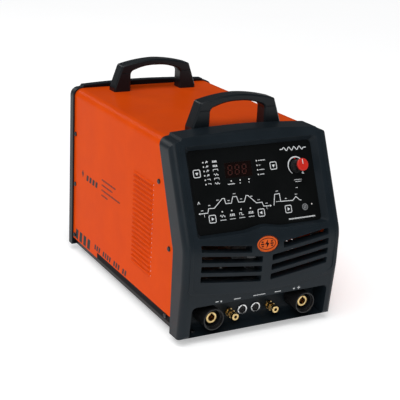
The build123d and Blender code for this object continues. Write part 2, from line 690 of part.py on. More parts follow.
with BuildPart() as cover:
    extrude(cover_outline(facing_front(38)), amount=-(REAR_PLATE + 1.8 - 38))
    extrude(cover_outline(facing_front(38), -SHEET), amount=-LENGTH, mode=Mode.SUBTRACT)
    with BuildSketch(Plane.YZ):
        with BuildLine():
            Polyline(
                (behind(38), COVER_SKIRT),
                (behind(38), WAIST),
                (behind(38 + COVER_SLANT * (COVER_TOP - WAIST)), COVER_TOP),
                (behind(LENGTH), COVER_TOP),
                (behind(LENGTH), COVER_SKIRT),
                close=True,
            )
        make_face()
    extrude(amount=WIDTH, both=True, mode=Mode.INTERSECT)
    for row in range(LOUVRES):
        height = LOUVRE_LOW + row * LOUVRE_PITCH
        bar = louvre_bar.part.moved(Location((0, 0, height)))
        add(bar)
        add(bar.mirror(Plane.YZ))
    louvre_middle = (LOUVRE_DEPTHS[0] + LOUVRE_DEPTHS[1]) / 2
    louvre_length = LOUVRE_DEPTHS[1] - LOUVRE_DEPTHS[0] - 6
    # Slots under the bars, and the hollow behind each bar
    with BuildSketch(Plane.YZ):
        for row in range(LOUVRES):
            height = LOUVRE_LOW + row * LOUVRE_PITCH
            with Locations((behind(louvre_middle), height - LOUVRE_HEIGHT / 2 - 0.6)):
                Rectangle(louvre_length, 1.6)
    extrude(amount=WIDTH, both=True, mode=Mode.SUBTRACT)
    with BuildSketch(Plane.YZ):
        for row in range(LOUVRES):
            height = LOUVRE_LOW + row * LOUVRE_PITCH
            with Locations((behind(louvre_middle), height - 0.6)):
                Rectangle(louvre_length, LOUVRE_HEIGHT - 2.4)
    extrude(amount=COVER_WIDTH / 2 + 0.6, both=True, mode=Mode.SUBTRACT)
    # Screw holes in the sides
    with BuildSketch(Plane.YZ):
        side_screws = REAR_SCREWS + FRONT_SCREWS + LOW_SCREWS
        with Locations(*[(behind(depth), height) for depth, height in side_screws]):
            Circle(SCREW_HOLE)
    extrude(amount=WIDTH, both=True, mode=Mode.SUBTRACT)
    # Handle screw holes in the top
    with BuildSketch(Plane.XY.offset(COVER_TOP - 5)):
        for depth in HANDLE_DEPTHS:
            with Locations((-HANDLE_SCREW_X, behind(depth)), (HANDLE_SCREW_X, behind(depth))):
                Circle(3.3)
    extrude(amount=10, mode=Mode.SUBTRACT)
save(cover, "cover")


def handle(depth):
    """Arched carrying handle with splayed legs, standing on the cover."""
    top = HANDLE_TOP
    with BuildPart() as arch:
        with BuildSketch(facing_front(depth - HANDLE_THICK / 2)) as front_view:
            with BuildLine():
                leg = (HANDLE_FOOT - 0.5, COVER_TOP + 8)
                Polyline((HANDLE_INNER, COVER_TOP), (HANDLE_FOOT, COVER_TOP), leg)
                Line(leg, HANDLE_SHOULDER)
                ThreePointArc(HANDLE_SHOULDER, (38, top - 3.4), (0, top))
                Line((0, top), (0, top - 12.5))
                ThreePointArc((0, top - 12.5), (24, top - 14), (47, top - 20.5))
                ThreePointArc((47, top - 20.5), (53.6, top - 24), (HANDLE_INNER, top - 30))
                Line((HANDLE_INNER, top - 30), (HANDLE_INNER, COVER_TOP))
            make_face()
            mirror(about=Plane.YZ)
            shoulders = front_view.vertices().filter_by(lambda v: abs(v.Y - HANDLE_SHOULDER[1]) < 0.01)
            fillet(shoulders, 5)
        extrude(amount=-HANDLE_THICK)
        half = HANDLE_THICK / 2
        rims = arch.edges().filter_by(lambda e: abs(abs(e.center().Y - behind(depth)) - half) < 0.01)
        chamfer(rims.filter_by(lambda e: e.center().Z > COVER_TOP + 1), 2.6)
        # Step line across each leg, where the grip begins
        with BuildSketch(Plane.XY.offset(HANDLE_STEP)):
            with Locations((0, behind(depth))):
                Rectangle(2 * HANDLE_FOOT + 10, HANDLE_THICK + 10)
                Rectangle(2 * HANDLE_FOOT + 10, HANDLE_THICK - 1.6, mode=Mode.SUBTRACT)
        extrude(amount=1.4, mode=Mode.SUBTRACT)
        # Threaded sockets for the screws
        with BuildSketch(Plane.XY.offset(COVER_TOP)):
            with Locations((-HANDLE_SCREW_X, behind(depth)), (HANDLE_SCREW_X, behind(depth))):
                Circle(3.1)
        extrude(amount=16, mode=Mode.SUBTRACT)
    return arch


save(handle(HANDLE_DEPTHS[0]), "front_handle")
save(handle(HANDLE_DEPTHS[1]), "rear_handle")

# Sheet channels under the cover that carry the handles
with BuildPart() as handle_braces:
    for depth in HANDLE_DEPTHS:
        with BuildSketch(facing_front(depth - 16)) as brace_section:
            with Locations((0, COVER_TOP - SHEET - 7.7)):
                Rectangle(270, 15)
            with Locations((0, COVER_TOP - SHEET - 9.3)):
                Rectangle(270 - 3.2, 15, mode=Mode.SUBTRACT)
        extrude(amount=-32)
        with BuildSketch(Plane.XY.offset(COVER_TOP - 10)):
            with Locations((-HANDLE_SCREW_X, behind(depth)), (HANDLE_SCREW_X, behind(depth))):
                Circle(3.3)
        extrude(amount=20, mode=Mode.SUBTRACT)
save(handle_braces, "handle_braces")

with BuildPart() as handle_screws:
    for depth in HANDLE_DEPTHS:
        places = [(-HANDLE_SCREW_X, behind(depth)), (HANDLE_SCREW_X, behind(depth))]
        with BuildSketch(Plane.XY.offset(COVER_TOP - SHEET - 6.2)):
            with Locations(*places):
                RegularPolygon(5, 6)
        extrude(amount=4)
        with BuildSketch(Plane.XY.offset(COVER_TOP - SHEET - 4)):
            with Locations(*places):
                Circle(3)
        extrude(amount=17)
save(handle_screws, "handle_screws")

# --- Sockets and fittings on the front ----------------------------------------------------
PLATE_BACK = PLATE_DEPTH + 1.5
with BuildPart() as inner_front_plate:
    with BuildSketch(facing_front(PLATE_DEPTH)):
        with Locations((0, (18 + 192) / 2)):
            Rectangle(2 * TRAY_HALF - 8, 192 - 18)
        with Locations((-WELD_X, WELD_Z), (WELD_X, WELD_Z)):
            Circle(15, mode=Mode.SUBTRACT)
        with Locations((-GAS_X, GAS_Z), (GAS_X, GAS_Z)):
            Circle(6.3, mode=Mode.SUBTRACT)
        with Locations((-REMOTE_X, REMOTE_Z), (REMOTE_X, REMOTE_Z)):
            Circle(8.3, mode=Mode.SUBTRACT)
        # Air window behind the vent slots
        with Locations((-68, 142), (68, 142)):
            Rectangle(118, 74, mode=Mode.SUBTRACT)
    extrude(amount=-1.5)
save(inner_front_plate, "inner_front_plate")


def turned(x, z, rings):
    """Round piece about an axis running front to rear: (depth, length, radius) rings."""
    with BuildPart() as piece:
        for depth, length, radius in rings:
            with BuildSketch(facing_front(depth)):
                with Locations((x, z)):
                    Circle(radius)
            extrude(amount=-length)
    return piece


for name, side in (("left", -1), ("right", 1)):
    with BuildPart() as weld_shroud:
        add(turned(side * WELD_X, WELD_Z, [
            (WELD_RIM_DEPTH, WALL_DEPTH - WELD_RIM_DEPTH, WELD_RIM),
            (WALL_DEPTH - 0.5, 7, 14.7),
        ]).part)
        mouth = weld_shroud.faces().sort_by(Axis.Y)[0]
        fillet(mouth.edges(), 0.8)
        with BuildSketch(facing_front(0)):
            with Locations((side * WELD_X, WELD_Z)):
                Circle(WELD_RIM - 2)
        extrude(amount=-(WELD_RIM_DEPTH + 6), mode=Mode.SUBTRACT)
        with BuildSketch(facing_front(0)):
            with Locations((side * WELD_X, WELD_Z)):
                Circle(WELD_RIM - 4.2)
        extrude(amount=-(WELD_RIM_DEPTH + 22), mode=Mode.SUBTRACT)
        with BuildSketch(facing_front(0)):
            with Locations((side * WELD_X, WELD_Z)):
                Circle(10.45)
        extrude(amount=-100, mode=Mode.SUBTRACT)
    save(weld_shroud, f"weld_shroud_{name}")

    with BuildPart() as weld_contact:
        add(turned(side * WELD_X, WELD_Z, [
            (WELD_RIM_DEPTH + 9.2, 50, 10.35),
            (PLATE_BACK + 2, 6, 18),
            (WELD_RIM_DEPTH + 59.2, 16, 5),
        ]).part)
        fillet(weld_contact.faces().sort_by(Axis.Y)[0].edges(), 0.7)
        with BuildSketch(facing_front(0)):
            with Locations((side * WELD_X, WELD_Z)):
                Circle(WELD_BORE)
        extrude(amount=-(WELD_RIM_DEPTH + 45), mode=Mode.SUBTRACT)
        # Bayonet slot in the mouth
        with BuildSketch(facing_front(0)):
            with Locations((side * WELD_X, WELD_Z + WELD_BORE)):
                Rectangle(4, 3.4)
        extrude(amount=-(WELD_RIM_DEPTH + 24), mode=Mode.SUBTRACT)
    save(weld_contact, f"weld_contact_{name}")

    with BuildPart() as gas_fitting:
        add(turned(side * GAS_X, GAS_Z, [
            (GAS_DEPTH + 3, 40, 5.6),
            (GAS_DEPTH, 6.5, 6.9),
            (GAS_DEPTH + 7.4, 2.4, 6.9),
            (GAS_DEPTH + 6.5, 5.0, 6.2),
        ]).part)
        with BuildSketch(facing_front(WALL_DEPTH - 4)):
            with Locations((side * GAS_X, GAS_Z)):
                RegularPolygon(8.4, 6)
        extrude(amount=-4)
        with BuildSketch(facing_front(GAS_DEPTH + 13)):
            with Locations((side * GAS_X, GAS_Z)):
                RegularPolygon(8.0, 6)
        extrude(amount=-6)
        # Lock nut behind the plate
        with BuildSketch(facing_front(PLATE_BACK)):
            with Locations((side * GAS_X, GAS_Z)):
                RegularPolygon(9.0, 6)
        extrude(amount=-4)
        fillet(gas_fitting.faces().sort_by(Axis.Y)[0].edges(), 1.2)
        with BuildSketch(facing_front(0)):
            with Locations((side * GAS_X, GAS_Z)):
                Circle(3.1)
        extrude(amount=-150, mode=Mode.SUBTRACT)
    save(gas_fitting, f"gas_fitting_{name}")

    with BuildPart() as remote_shell:
        add(turned(side * REMOTE_X, REMOTE_Z, [
            (REMOTE_DEPTH, WALL_DEPTH - REMOTE_DEPTH, 10.1),
            (WALL_DEPTH - 0.5, 14, 8.0),
        ]).part)
        fillet(remote_shell.faces().sort_by(Axis.Y)[0].edges(), 0.8)
        with BuildSketch(facing_front(0)):
            with Locations((side * REMOTE_X, REMOTE_Z)):
                Circle(7.2)
        extrude(amount=-(REMOTE_DEPTH + 6), mode=Mode.SUBTRACT)
        # Two key slots in the rim
        with BuildSketch(facing_front(0)):
            with Locations((side * REMOTE_X, REMOTE_Z + 7.4), (side * REMOTE_X - 7.4, REMOTE_Z)):
                Rectangle(2.4, 2.4)
        extrude(amount=-(REMOTE_DEPTH + 5), mode=Mode.SUBTRACT)
    save(remote_shell, f"remote_shell_{name}")

    with BuildPart() as remote_pins:
        with BuildSketch(facing_front(REMOTE_DEPTH + 3.5)):
            with Locations((side * REMOTE_X, REMOTE_Z)):
                Circle(7.0)
        extrude(amount=-2.5)
        with BuildSketch(facing_front(REMOTE_DEPTH + 0.8)):
            with Locations((side * REMOTE_X, REMOTE_Z)):
                with PolarLocations(3.8, 3, start_angle=90):
                    Circle(1.0)
        extrude(amount=-4)
    save(remote_pins, f"remote_pins_{name}")

# Uprights behind the cover's sides that take the front screws
with BuildPart() as front_posts:
    with BuildSketch(Plane.YZ):
        with BuildLine():
            back_step = COVER_SLANT * (325 - WAIST)
            Polyline(
                (behind(66), 18),
                (behind(66), WAIST - 12),
                (behind(66) + back_step, 325),
                (behind(88) + back_step, 325),
                (behind(88), WAIST - 12),
                (behind(88), 18),
                close=True,
            )
        make_face()
        with Locations(*[(behind(depth), height) for depth, height in FRONT_SCREWS + LOW_SCREWS]):
            Circle(SCREW_HOLE, mode=Mode.SUBTRACT)
    extrude(amount=TRAY_HALF + 1.8, both=True)
    with BuildSketch(facing_front(0)):
        with Locations((0, 200)):
            Rectangle(2 * TRAY_HALF + 0.4, 400)
    extrude(amount=-300, mode=Mode.SUBTRACT)
save(front_posts, "front_posts")

# --- Rear -------------------------------------------------------------------------------
SWITCH = (-84.0, 286.0)
GLAND = (70.0, 286.0)
INLET = (112.0, 64.0)
EARTH = (-118.0, 52.0)
FAN_X = 0.0
FAN_BORE = 71.0
FAN_HOLES = 62.0

with BuildPart() as rear_panel:
    with BuildSketch(facing_rear(REAR_PLATE)) as panel_outline:
        with Locations((0, (18 + 349) / 2)):
            Rectangle(2 * 154, 349 - 18)
        fillet(panel_outline.vertices().group_by(Axis.Y)[-1], COVER_BEND)
        with Locations((FAN_X, FAN_Z)):
            Circle(FAN_BORE, mode=Mode.SUBTRACT)
            with GridLocations(2 * FAN_HOLES, 2 * FAN_HOLES, 2, 2):
                Circle(2.4, mode=Mode.SUBTRACT)
        with Locations((-SWITCH[0], SWITCH[1])):
            Rectangle(54, 72, mode=Mode.SUBTRACT)
        with Locations((-GLAND[0], GLAND[1])):
            Circle(12.3, mode=Mode.SUBTRACT)
        with Locations((-INLET[0], INLET[1])):
            Circle(6.3, mode=Mode.SUBTRACT)
        with Locations((-EARTH[0], EARTH[1])):
            Circle(4.2, mode=Mode.SUBTRACT)
        with Locations(*FRAME_SCREWS):
            Circle(SCREW_HOLE, mode=Mode.SUBTRACT)
    extrude(amount=1.5)
    # Side flanges that take the cover's rear screws
    with BuildSketch(facing_front(REAR_PLATE - 17)):
        for side in (-1, 1):
            with Locations((side * 153.3, (30 + 320) / 2)):
                Rectangle(1.4, 320 - 30)
    extrude(amount=-17)
    with BuildSketch(Plane.YZ):
        with Locations(*[(behind(depth), height) for depth, height in REAR_SCREWS + LOW_SCREWS]):
            Circle(SCREW_HOLE)
    extrude(amount=WIDTH, both=True, mode=Mode.SUBTRACT)
save(rear_panel, "rear_panel")

with BuildPart() as rear_frame:
    extrude(stepped_outline(facing_front(REAR_LIP)), amount=-(REAR_FACE - REAR_LIP))
    rear_rim = rear_frame.faces().sort_by(Axis.Y)[-1].outer_wire().edges()
    fillet(rear_rim, 3)
    # Rebate that receives the cover and the rear panel
    extrude(stepped_outline(facing_front(REAR_LIP), inset=MOULD), amount=-4.2, mode=Mode.SUBTRACT)
    add(cover_room.part, mode=Mode.SUBTRACT)
    with BuildSketch(facing_front(REAR_LIP)):
        with Locations((0, (32 + 338) / 2)):
            RectangleRounded(2 * 137, 338 - 32, 14)
    extrude(amount=-40, mode=Mode.SUBTRACT)
    inner_rim = rear_frame.faces().sort_by(Axis.Y)[-1].inner_wires()[0].edges()
    chamfer(inner_rim, 4)
    with BuildSketch(facing_front(REAR_LIP)):
        with Locations(*FRAME_SCREWS):
            Circle(SCREW_HOLE)
    extrude(amount=-40, mode=Mode.SUBTRACT)
    with BuildSketch(facing_front(REAR_FACE - 3)):
        with Locations(*FRAME_SCREWS):
            Circle(5)
    extrude(amount=-10, mode=Mode.SUBTRACT)
save(rear_frame, "rear_frame")


def pan_screw(plane, place, length):
    """Pan-head screw with a cross recess; the plane is the face under its head."""
    with BuildPart() as screw:
        with BuildSketch(plane):
            with Locations(place):
                Circle(SCREW_HEAD)
        extrude(amount=2.6)
        far = screw.edges().filter_by(GeomType.CIRCLE).sort_by(Axis(plane.origin, plane.z_dir))[-1]
        fillet(far, 1.7)
        with BuildSketch(plane.offset(1.2)):
            with Locations(place):
                Rectangle(5, 1)
                Rectangle(1, 5)
        extrude(amount=3, mode=Mode.SUBTRACT)
        with BuildSketch(plane):
            with Locations(place):
                Circle(SCREW_RADIUS)
        extrude(amount=-length)
    return screw.part


with BuildPart() as cover_screws:
    for side in (-1, 1):
        side_plane = Plane(origin=(side * COVER_WIDTH / 2, 0, 0), x_dir=(0, side, 0), z_dir=(side, 0, 0))
        for depth, height in REAR_SCREWS + FRONT_SCREWS + LOW_SCREWS:
            add(pan_screw(side_plane, (side * behind(depth), height), 8))
save(cover_screws, "cover_screws")

with BuildPart() as frame_screws:
    for place in FRAME_SCREWS:
        add(pan_screw(facing_rear(REAR_FACE - 3), place, 18))
    for place in floor_screws:
        add(pan_screw(Plane.XY.offset(FLOOR_BOSS_TOP), place, 3))
save(frame_screws, "frame_screws")

# --- Fan ----------------------------------------------------------------------------------
FAN_FRONT = REAR_PLATE - FAN_THICK - 0.2
with BuildPart() as fan_frame:
    with BuildSketch(facing_front(FAN_FRONT)):
        with Locations((FAN_X, FAN_Z)):
            RectangleRounded(FAN_SIZE, FAN_SIZE, 6)
            Circle(FAN_BORE, mode=Mode.SUBTRACT)
            with GridLocations(2 * FAN_HOLES, 2 * FAN_HOLES, 2, 2):
                Circle(2.4, mode=Mode.SUBTRACT)
    extrude(amount=-FAN_THICK)
    # Motor seat and its four arms, on the inner side
    with BuildSketch(facing_front(FAN_FRONT)):
        with Locations((FAN_X, FAN_Z)):
            Circle(26)
            with PolarLocations(49, 4, start_angle=45):
                Rectangle(50, 6)
    extrude(amount=-4)
    with BuildSketch(facing_front(FAN_FRONT + 4)):
        with Locations((FAN_X, FAN_Z)):
            Circle(3)
    extrude(amount=-24)
save(fan_frame, "fan_frame")

BLADES = 7
with BuildPart() as fan_rotor:
    with BuildSketch(facing_front(FAN_FRONT + 5)):
        with Locations((FAN_X, FAN_Z)):
            Circle(24)
    extrude(amount=-27)
    fillet(fan_rotor.edges().filter_by(GeomType.CIRCLE).sort_by(Axis.Y)[-1], 2)
    with BuildSketch(facing_front(FAN_FRONT + 5)):
        with Locations((FAN_X, FAN_Z)):
            Circle(3.06)
    extrude(amount=-24, mode=Mode.SUBTRACT)
    # Pitched blades
    for blade in range(BLADES):
        turn = blade * 360 / BLADES
        arm = Plane(origin=(FAN_X, behind(FAN_FRONT + 18), FAN_Z), x_dir=(0, 1, 0), z_dir=(1, 0, 0))
        root = arm.offset(22)
        with BuildPart(mode=Mode.PRIVATE) as blade_form:
            with BuildSketch(root):
                with Locations(Location((0, 0, 0), 50)):
                    RectangleRounded(24, 2.6, 1.2)
            with BuildSketch(arm.offset(67)):
                with Locations(Location((0, 0, 0), 62)):
                    RectangleRounded(30, 2.0, 0.9)
            loft()
        add(blade_form.part.rotate(Axis((FAN_X, 0, FAN_Z), (0, 1, 0)), turn))
save(fan_rotor, "fan_rotor")

GUARD_WIRE = 1.4
GUARD_DEPTH = REAR_PLATE + 1.5 + 3.2
with BuildPart() as fan_guard:
    for ring in (16, 28, 40, 52, 64, 75):
        with BuildSketch(Plane.XZ.offset(-behind(GUARD_DEPTH))):
            with Locations((FAN_X, FAN_Z)):
                Circle(ring + GUARD_WIRE)
                Circle(ring - GUARD_WIRE, mode=Mode.SUBTRACT)
        extrude(amount=-2.4)
    with BuildSketch(facing_front(GUARD_DEPTH + 1.2)):
        with Locations((FAN_X, FAN_Z)):
            Circle(13)
            with PolarLocations(49, 4, start_angle=45):
                Rectangle(84, 3)
    extrude(amount=-2.4)
    # Feet of the guard, with their screws
    with BuildSketch(facing_front(REAR_PLATE + 1.5)):
        with Locations((FAN_X, FAN_Z)):
            with GridLocations(2 * FAN_HOLES, 2 * FAN_HOLES, 2, 2):
                Circle(6)
    extrude(amount=-6.8)
    with BuildSketch(facing_front(FAN_FRONT + 2)):
        with Locations((FAN_X, FAN_Z)):
            with GridLocations(2 * FAN_HOLES, 2 * FAN_HOLES, 2, 2):
                Circle(2)
    extrude(amount=-(REAR_PLATE - FAN_FRONT))
save(fan_guard, "fan_guard")

# --- Rear fittings --------------------------------------------------------------------------
SWITCH_FACE = REAR_PLATE + 1.5
LEVER_PIVOT = SWITCH_FACE - 4
LEVER_REST = -25.0
LEVER_PIN = 1.6
lever_plane = Plane(origin=(SWITCH[0], behind(LEVER_PIVOT), SWITCH[1]), x_dir=(0, 1, 0), z_dir=(1, 0, 0))
with BuildPart() as main_switch:
    with BuildSketch(facing_rear(SWITCH_FACE - 52)):
        with Locations((-SWITCH[0], SWITCH[1])):
            Rectangle(52.6, 70.6)
    extrude(amount=52)
    with BuildSketch(facing_rear(SWITCH_FACE)):
        with Locations((-SWITCH[0], SWITCH[1])):
            RectangleRounded(66, 84, 3)
    extrude(amount=3)
    fillet(main_switch.faces().sort_by(Axis.Y)[-1].edges(), 1)
    with BuildSketch(facing_rear(SWITCH_FACE)):
        with Locations((-SWITCH[0], SWITCH[1])):
            Rectangle(44, 46)
    extrude(amount=10, mode=Mode.SUBTRACT)
    # Opening and seat of the lever
    with BuildSketch(facing_rear(LEVER_PIVOT - 9)):
        with Locations((-SWITCH[0], SWITCH[1])):
            Rectangle(34.8, 22)
    extrude(amount=30, mode=Mode.SUBTRACT)
    with BuildSketch(lever_plane):
        Circle(LEVER_PIN + 0.05)
    extrude(amount=22, both=True, mode=Mode.SUBTRACT)
save(main_switch, "main_switch")

with BuildPart() as switch_lever:
    with BuildSketch(lever_plane):
        Circle(7.4)
        with Locations(Location((0, 0, 0), LEVER_REST)):
            with Locations((11, 0)):
                Rectangle(22, 5)
    extrude(amount=17, both=True)
    fillet(switch_lever.faces().filter_by(lambda f: f.center().Y > behind(LEVER_PIVOT + 19)).edges(), 1.2)
    # Pivot pins
    with BuildSketch(lever_plane):
        Circle(LEVER_PIN)
    extrude(amount=21, both=True)
save(switch_lever, "switch_lever")

GLAND_TIP = LENGTH
with BuildPart() as cable_gland:
    with BuildSketch(facing_rear(SWITCH_FACE)):
        with Locations((-GLAND[0], GLAND[1])):
            RegularPolygon(17, 6)
    extrude(amount=7)
    with BuildSketch(facing_rear(SWITCH_FACE - 12)):
        with Locations((-GLAND[0], GLAND[1])):
            Circle(12)
    extrude(amount=24)
    with BuildSketch(facing_rear(SWITCH_FACE + 8)):
        with Locations((-GLAND[0], GLAND[1])):
            RegularPolygon(15.5, 6)
    extrude(amount=10)
    with BuildSketch(facing_rear(SWITCH_FACE + 18)):
        with Locations((-GLAND[0], GLAND[1])):
            Circle(13)
    extrude(amount=GLAND_TIP - SWITCH_FACE - 18)
    fillet(cable_gland.faces().sort_by(Axis.Y)[-1].edges(), 4)
    # Lock nut inside
    with BuildSketch(facing_rear(REAR_PLATE - 5)):
        with Locations((-GLAND[0], GLAND[1])):
            RegularPolygon(17, 6)
    extrude(amount=5)
    with BuildSketch(facing_rear(SWITCH_FACE - 40)):
        with Locations((-GLAND[0], GLAND[1])):
            Circle(6.5)
    extrude(amount=90, mode=Mode.SUBTRACT)
save(cable_gland, "cable_gland")

with BuildPart() as gas_inlet:
    with BuildSketch(facing_rear(SWITCH_FACE)):
        with Locations((-INLET[0], INLET[1])):
            RegularPolygon(9, 6)
    extrude(amount=5)
    with BuildSketch(facing_rear(REAR_PLATE - 10)):
        with Locations((-INLET[0], INLET[1])):
            Circle(5.6)
    extrude(amount=16)
    for barb in range(4):
        with BuildSketch(facing_rear(SWITCH_FACE + 5 + barb * 4.5)):
            with Locations((-INLET[0], INLET[1])):
                Circle(4.8)
        extrude(amount=4.5, taper=9)
    with BuildSketch(facing_rear(REAR_PLATE - 4)):
        with Locations((-INLET[0], INLET[1])):
            RegularPolygon(9, 6)
    extrude(amount=4)
    with BuildSketch(facing_rear(REAR_PLATE - 20)):
        with Locations((-INLET[0], INLET[1])):
            Circle(2.2)
    extrude(amount=80, mode=Mode.SUBTRACT)
save(gas_inlet, "gas_inlet")

with BuildPart() as earth_stud:
    with BuildSketch(facing_rear(REAR_PLATE - 8)):
        with Locations((-EARTH[0], EARTH[1])):
            Circle(4)
    extrude(amount=30)
    for depth, thick, radius in ((SWITCH_FACE, 1.6, 8), (REAR_PLATE - 1.6, 1.6, 8)):
        with BuildSketch(facing_rear(depth)):
            with Locations((-EARTH[0], EARTH[1])):
                Circle(radius)
        extrude(amount=thick)
    for depth in (SWITCH_FACE + 1.6, SWITCH_FACE + 9.6, REAR_PLATE - 7.6):
        with BuildSketch(facing_rear(depth)):
            with Locations((-EARTH[0], EARTH[1])):
                RegularPolygon(7.2, 6)
        extrude(amount=6)
save(earth_stud, "earth_stud")

# --- Inside -------------------------------------------------------------------------------
with BuildPart() as shelf:
    with BuildSketch(Plane.XY.offset(SHELF_Z)):
        with Locations((0, behind(PLATE_BACK + 8 + (FAN_FRONT - 20 - PLATE_BACK) / 2))):
            Rectangle(2 * TRAY_HALF - 4, FAN_FRONT - 20 - PLATE_BACK)
        with Locations((0, behind(200)), (0, behind(380))):
            SlotOverall(120, 30, mode=Mode.SUBTRACT)
    extrude(amount=1.5)
save(shelf, "shelf")

HEATSINK_LENGTH = 230.0
with BuildPart() as heatsinks:
    for side in (-1, 1):
        with BuildSketch(facing_front(215)):
            with Locations((side * 94, 108)):
                Rectangle(8, 140)
            for fin in range(9):
                with Locations((side * 116, 108 - 66 + fin * 16.5)):
                    Rectangle(44, 2.4)
        extrude(amount=-HEATSINK_LENGTH)
save(heatsinks, "heatsinks")

with BuildPart() as main_transformer:
    with BuildSketch(facing_front(330)):
        with Locations((0, 75)):
            Rectangle(110, 96)
            with GridLocations(48, 0, 2, 1):
                Rectangle(24, 56, mode=Mode.SUBTRACT)
    extrude(amount=-50)
    with BuildSketch(Plane.XY.offset(48)) as winding:
        with Locations((0, behind(355))):
            RectangleRounded(66, 82, 10)
            Rectangle(24.6, 50.6, mode=Mode.SUBTRACT)
    extrude(amount=54)
    with BuildSketch(Plane.XY.offset(BODY_BOTTOM + 1.5)):
        with Locations((0, behind(355))):
            Rectangle(120, 40)
    extrude(amount=12)
save(main_transformer, "main_transformer")

with BuildPart() as output_choke:
    with BuildSketch(facing_front(215)):
        with Locations((0, 75)):
            Circle(46)
            Circle(24, mode=Mode.SUBTRACT)
    extrude(amount=-34)
    fillet(output_choke.edges().filter_by(GeomType.CIRCLE), 8)
    with BuildSketch(facing_front(208)):
        with Locations((0, 75)):
            with PolarLocations(35, 16, start_angle=11):
                Rectangle(34, 7)
    extrude(amount=-48)
    with BuildSketch(facing_front(205)):
        with Locations((0, 75)):
            Circle(17)
    extrude(amount=-60, mode=Mode.SUBTRACT)
    with BuildSketch(Plane.XY.offset(BODY_BOTTOM + 1.5)):
        with Locations((0, behind(232))):
            Rectangle(60, 30)
    extrude(amount=18)
save(output_choke, "output_choke")

with BuildPart() as inverter_board:
    with BuildSketch(Plane.XY.offset(SHELF_Z + 13.5)):
        with Locations((0, behind(300))):
            Rectangle(250, 230)
    extrude(amount=2)
    with BuildSketch(Plane.XY.offset(SHELF_Z + 1.5)):
        with Locations((0, behind(300))):
            with GridLocations(236, 216, 2, 2):
                Circle(4)
    extrude(amount=12)
    # Power modules along both edges
    with BuildSketch(Plane.XY.offset(SHELF_Z + 15.5)):
        with Locations((0, behind(300))):
            with GridLocations(200, 62, 2, 3):
                Rectangle(34, 50)
    extrude(amount=22)
save(inverter_board, "inverter_board")

with BuildPart() as capacitors:
    with BuildSketch(Plane.XY.offset(SHELF_Z + 15.5)):
        with Locations((0, behind(300))):
            with GridLocations(46, 46, 3, 3):
                Circle(17.5)
    extrude(amount=52)
    fillet(capacitors.faces().group_by(Axis.Z)[-1].edges(), 2)
save(capacitors, "capacitors")

VALVE_DEPTH = 468.0
VALVE_Z = INLET[1]
with BuildPart() as gas_valve:
    with BuildSketch(facing_rear(VALVE_DEPTH - 14)):
        with Locations((-INLET[0], VALVE_Z)):
            Rectangle(24, 22)
    extrude(amount=28)
    with BuildSketch(Plane.XY.offset(VALVE_Z + 11)):
        with Locations((INLET[0], behind(VALVE_DEPTH))):
            RectangleRounded(30, 32, 3)
    extrude(amount=34)
    with BuildSketch(facing_rear(VALVE_DEPTH - 40)):
        with Locations((-INLET[0], VALVE_Z)):
            Circle(3.2)
    extrude(amount=80, mode=Mode.SUBTRACT)
save(gas_valve, "gas_valve")
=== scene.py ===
"""The looks of a TIG welding power source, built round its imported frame.

Lengths in the lists are millimetres; everything in the scene is metres.
X runs across, Y from the control panel to the rear and Z up from the floor.
"""

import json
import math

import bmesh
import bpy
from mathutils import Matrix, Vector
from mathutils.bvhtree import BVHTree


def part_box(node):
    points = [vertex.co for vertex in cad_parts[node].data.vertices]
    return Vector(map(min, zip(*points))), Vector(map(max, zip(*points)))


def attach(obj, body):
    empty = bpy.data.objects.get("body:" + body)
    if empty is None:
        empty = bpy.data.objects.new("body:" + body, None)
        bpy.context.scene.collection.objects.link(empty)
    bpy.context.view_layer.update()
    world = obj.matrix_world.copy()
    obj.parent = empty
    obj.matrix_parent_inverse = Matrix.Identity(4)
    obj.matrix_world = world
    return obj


bl_info = {
    "name": "TIG Welding Machine",
    "version": (1, 0, 0),
    "blender": (4, 5, 0),
    "location": "View3D > Sidebar > Welder",
    "description": "Finishes and printed marks of a TIG welding machine",
    "category": "Add Mesh",
}

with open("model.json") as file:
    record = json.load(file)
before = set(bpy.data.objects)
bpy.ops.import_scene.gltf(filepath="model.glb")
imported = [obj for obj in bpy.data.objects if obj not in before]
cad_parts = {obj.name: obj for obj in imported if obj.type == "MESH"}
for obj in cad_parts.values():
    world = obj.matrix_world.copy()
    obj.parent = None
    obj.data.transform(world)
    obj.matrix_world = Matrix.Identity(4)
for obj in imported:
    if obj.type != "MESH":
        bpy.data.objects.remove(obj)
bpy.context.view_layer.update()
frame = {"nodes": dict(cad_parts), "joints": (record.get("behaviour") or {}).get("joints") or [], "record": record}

MM = 0.001
JOINTS = {joint["name"]: joint for joint in frame["joints"]}
SLOT_OF = {part["node"]: part["material_slot"] for part in frame["record"]["subparts"]}
PANEL_OUT = Vector(JOINTS["knob_spin"]["axis"]).normalized()
PANEL_UP = PANEL_OUT.cross(Vector((1, 0, 0)))
KNOB = (89.5, 106.5)  # across, and up the panel from its foot
PANEL_FOOT = Vector(JOINTS["knob_spin"]["pos_m"]) - Vector((KNOB[0] * MM, 0, 0)) - PANEL_UP * KNOB[1] * MM
PRINT = 0.12  # thickness of a printed mark
FRONT = Vector((0, -1, 0))
LOUVRES = 20
LOUVRE_FRONT, LOUVRE_LOW, LOUVRE_PITCH = -130.4, 87.5, 9.08  # front ends, lowest row and spacing
RIGHT_SHIFT = 205  # how much further back the right side's marks lie
KEY_FACE = 1.0  # how far the keys' marks stand out of the panel
KNOB_FACE = 22.95  # the same for the pointer line in the knob's cap
BLACK_INK = (0.004, 0.004, 0.005)
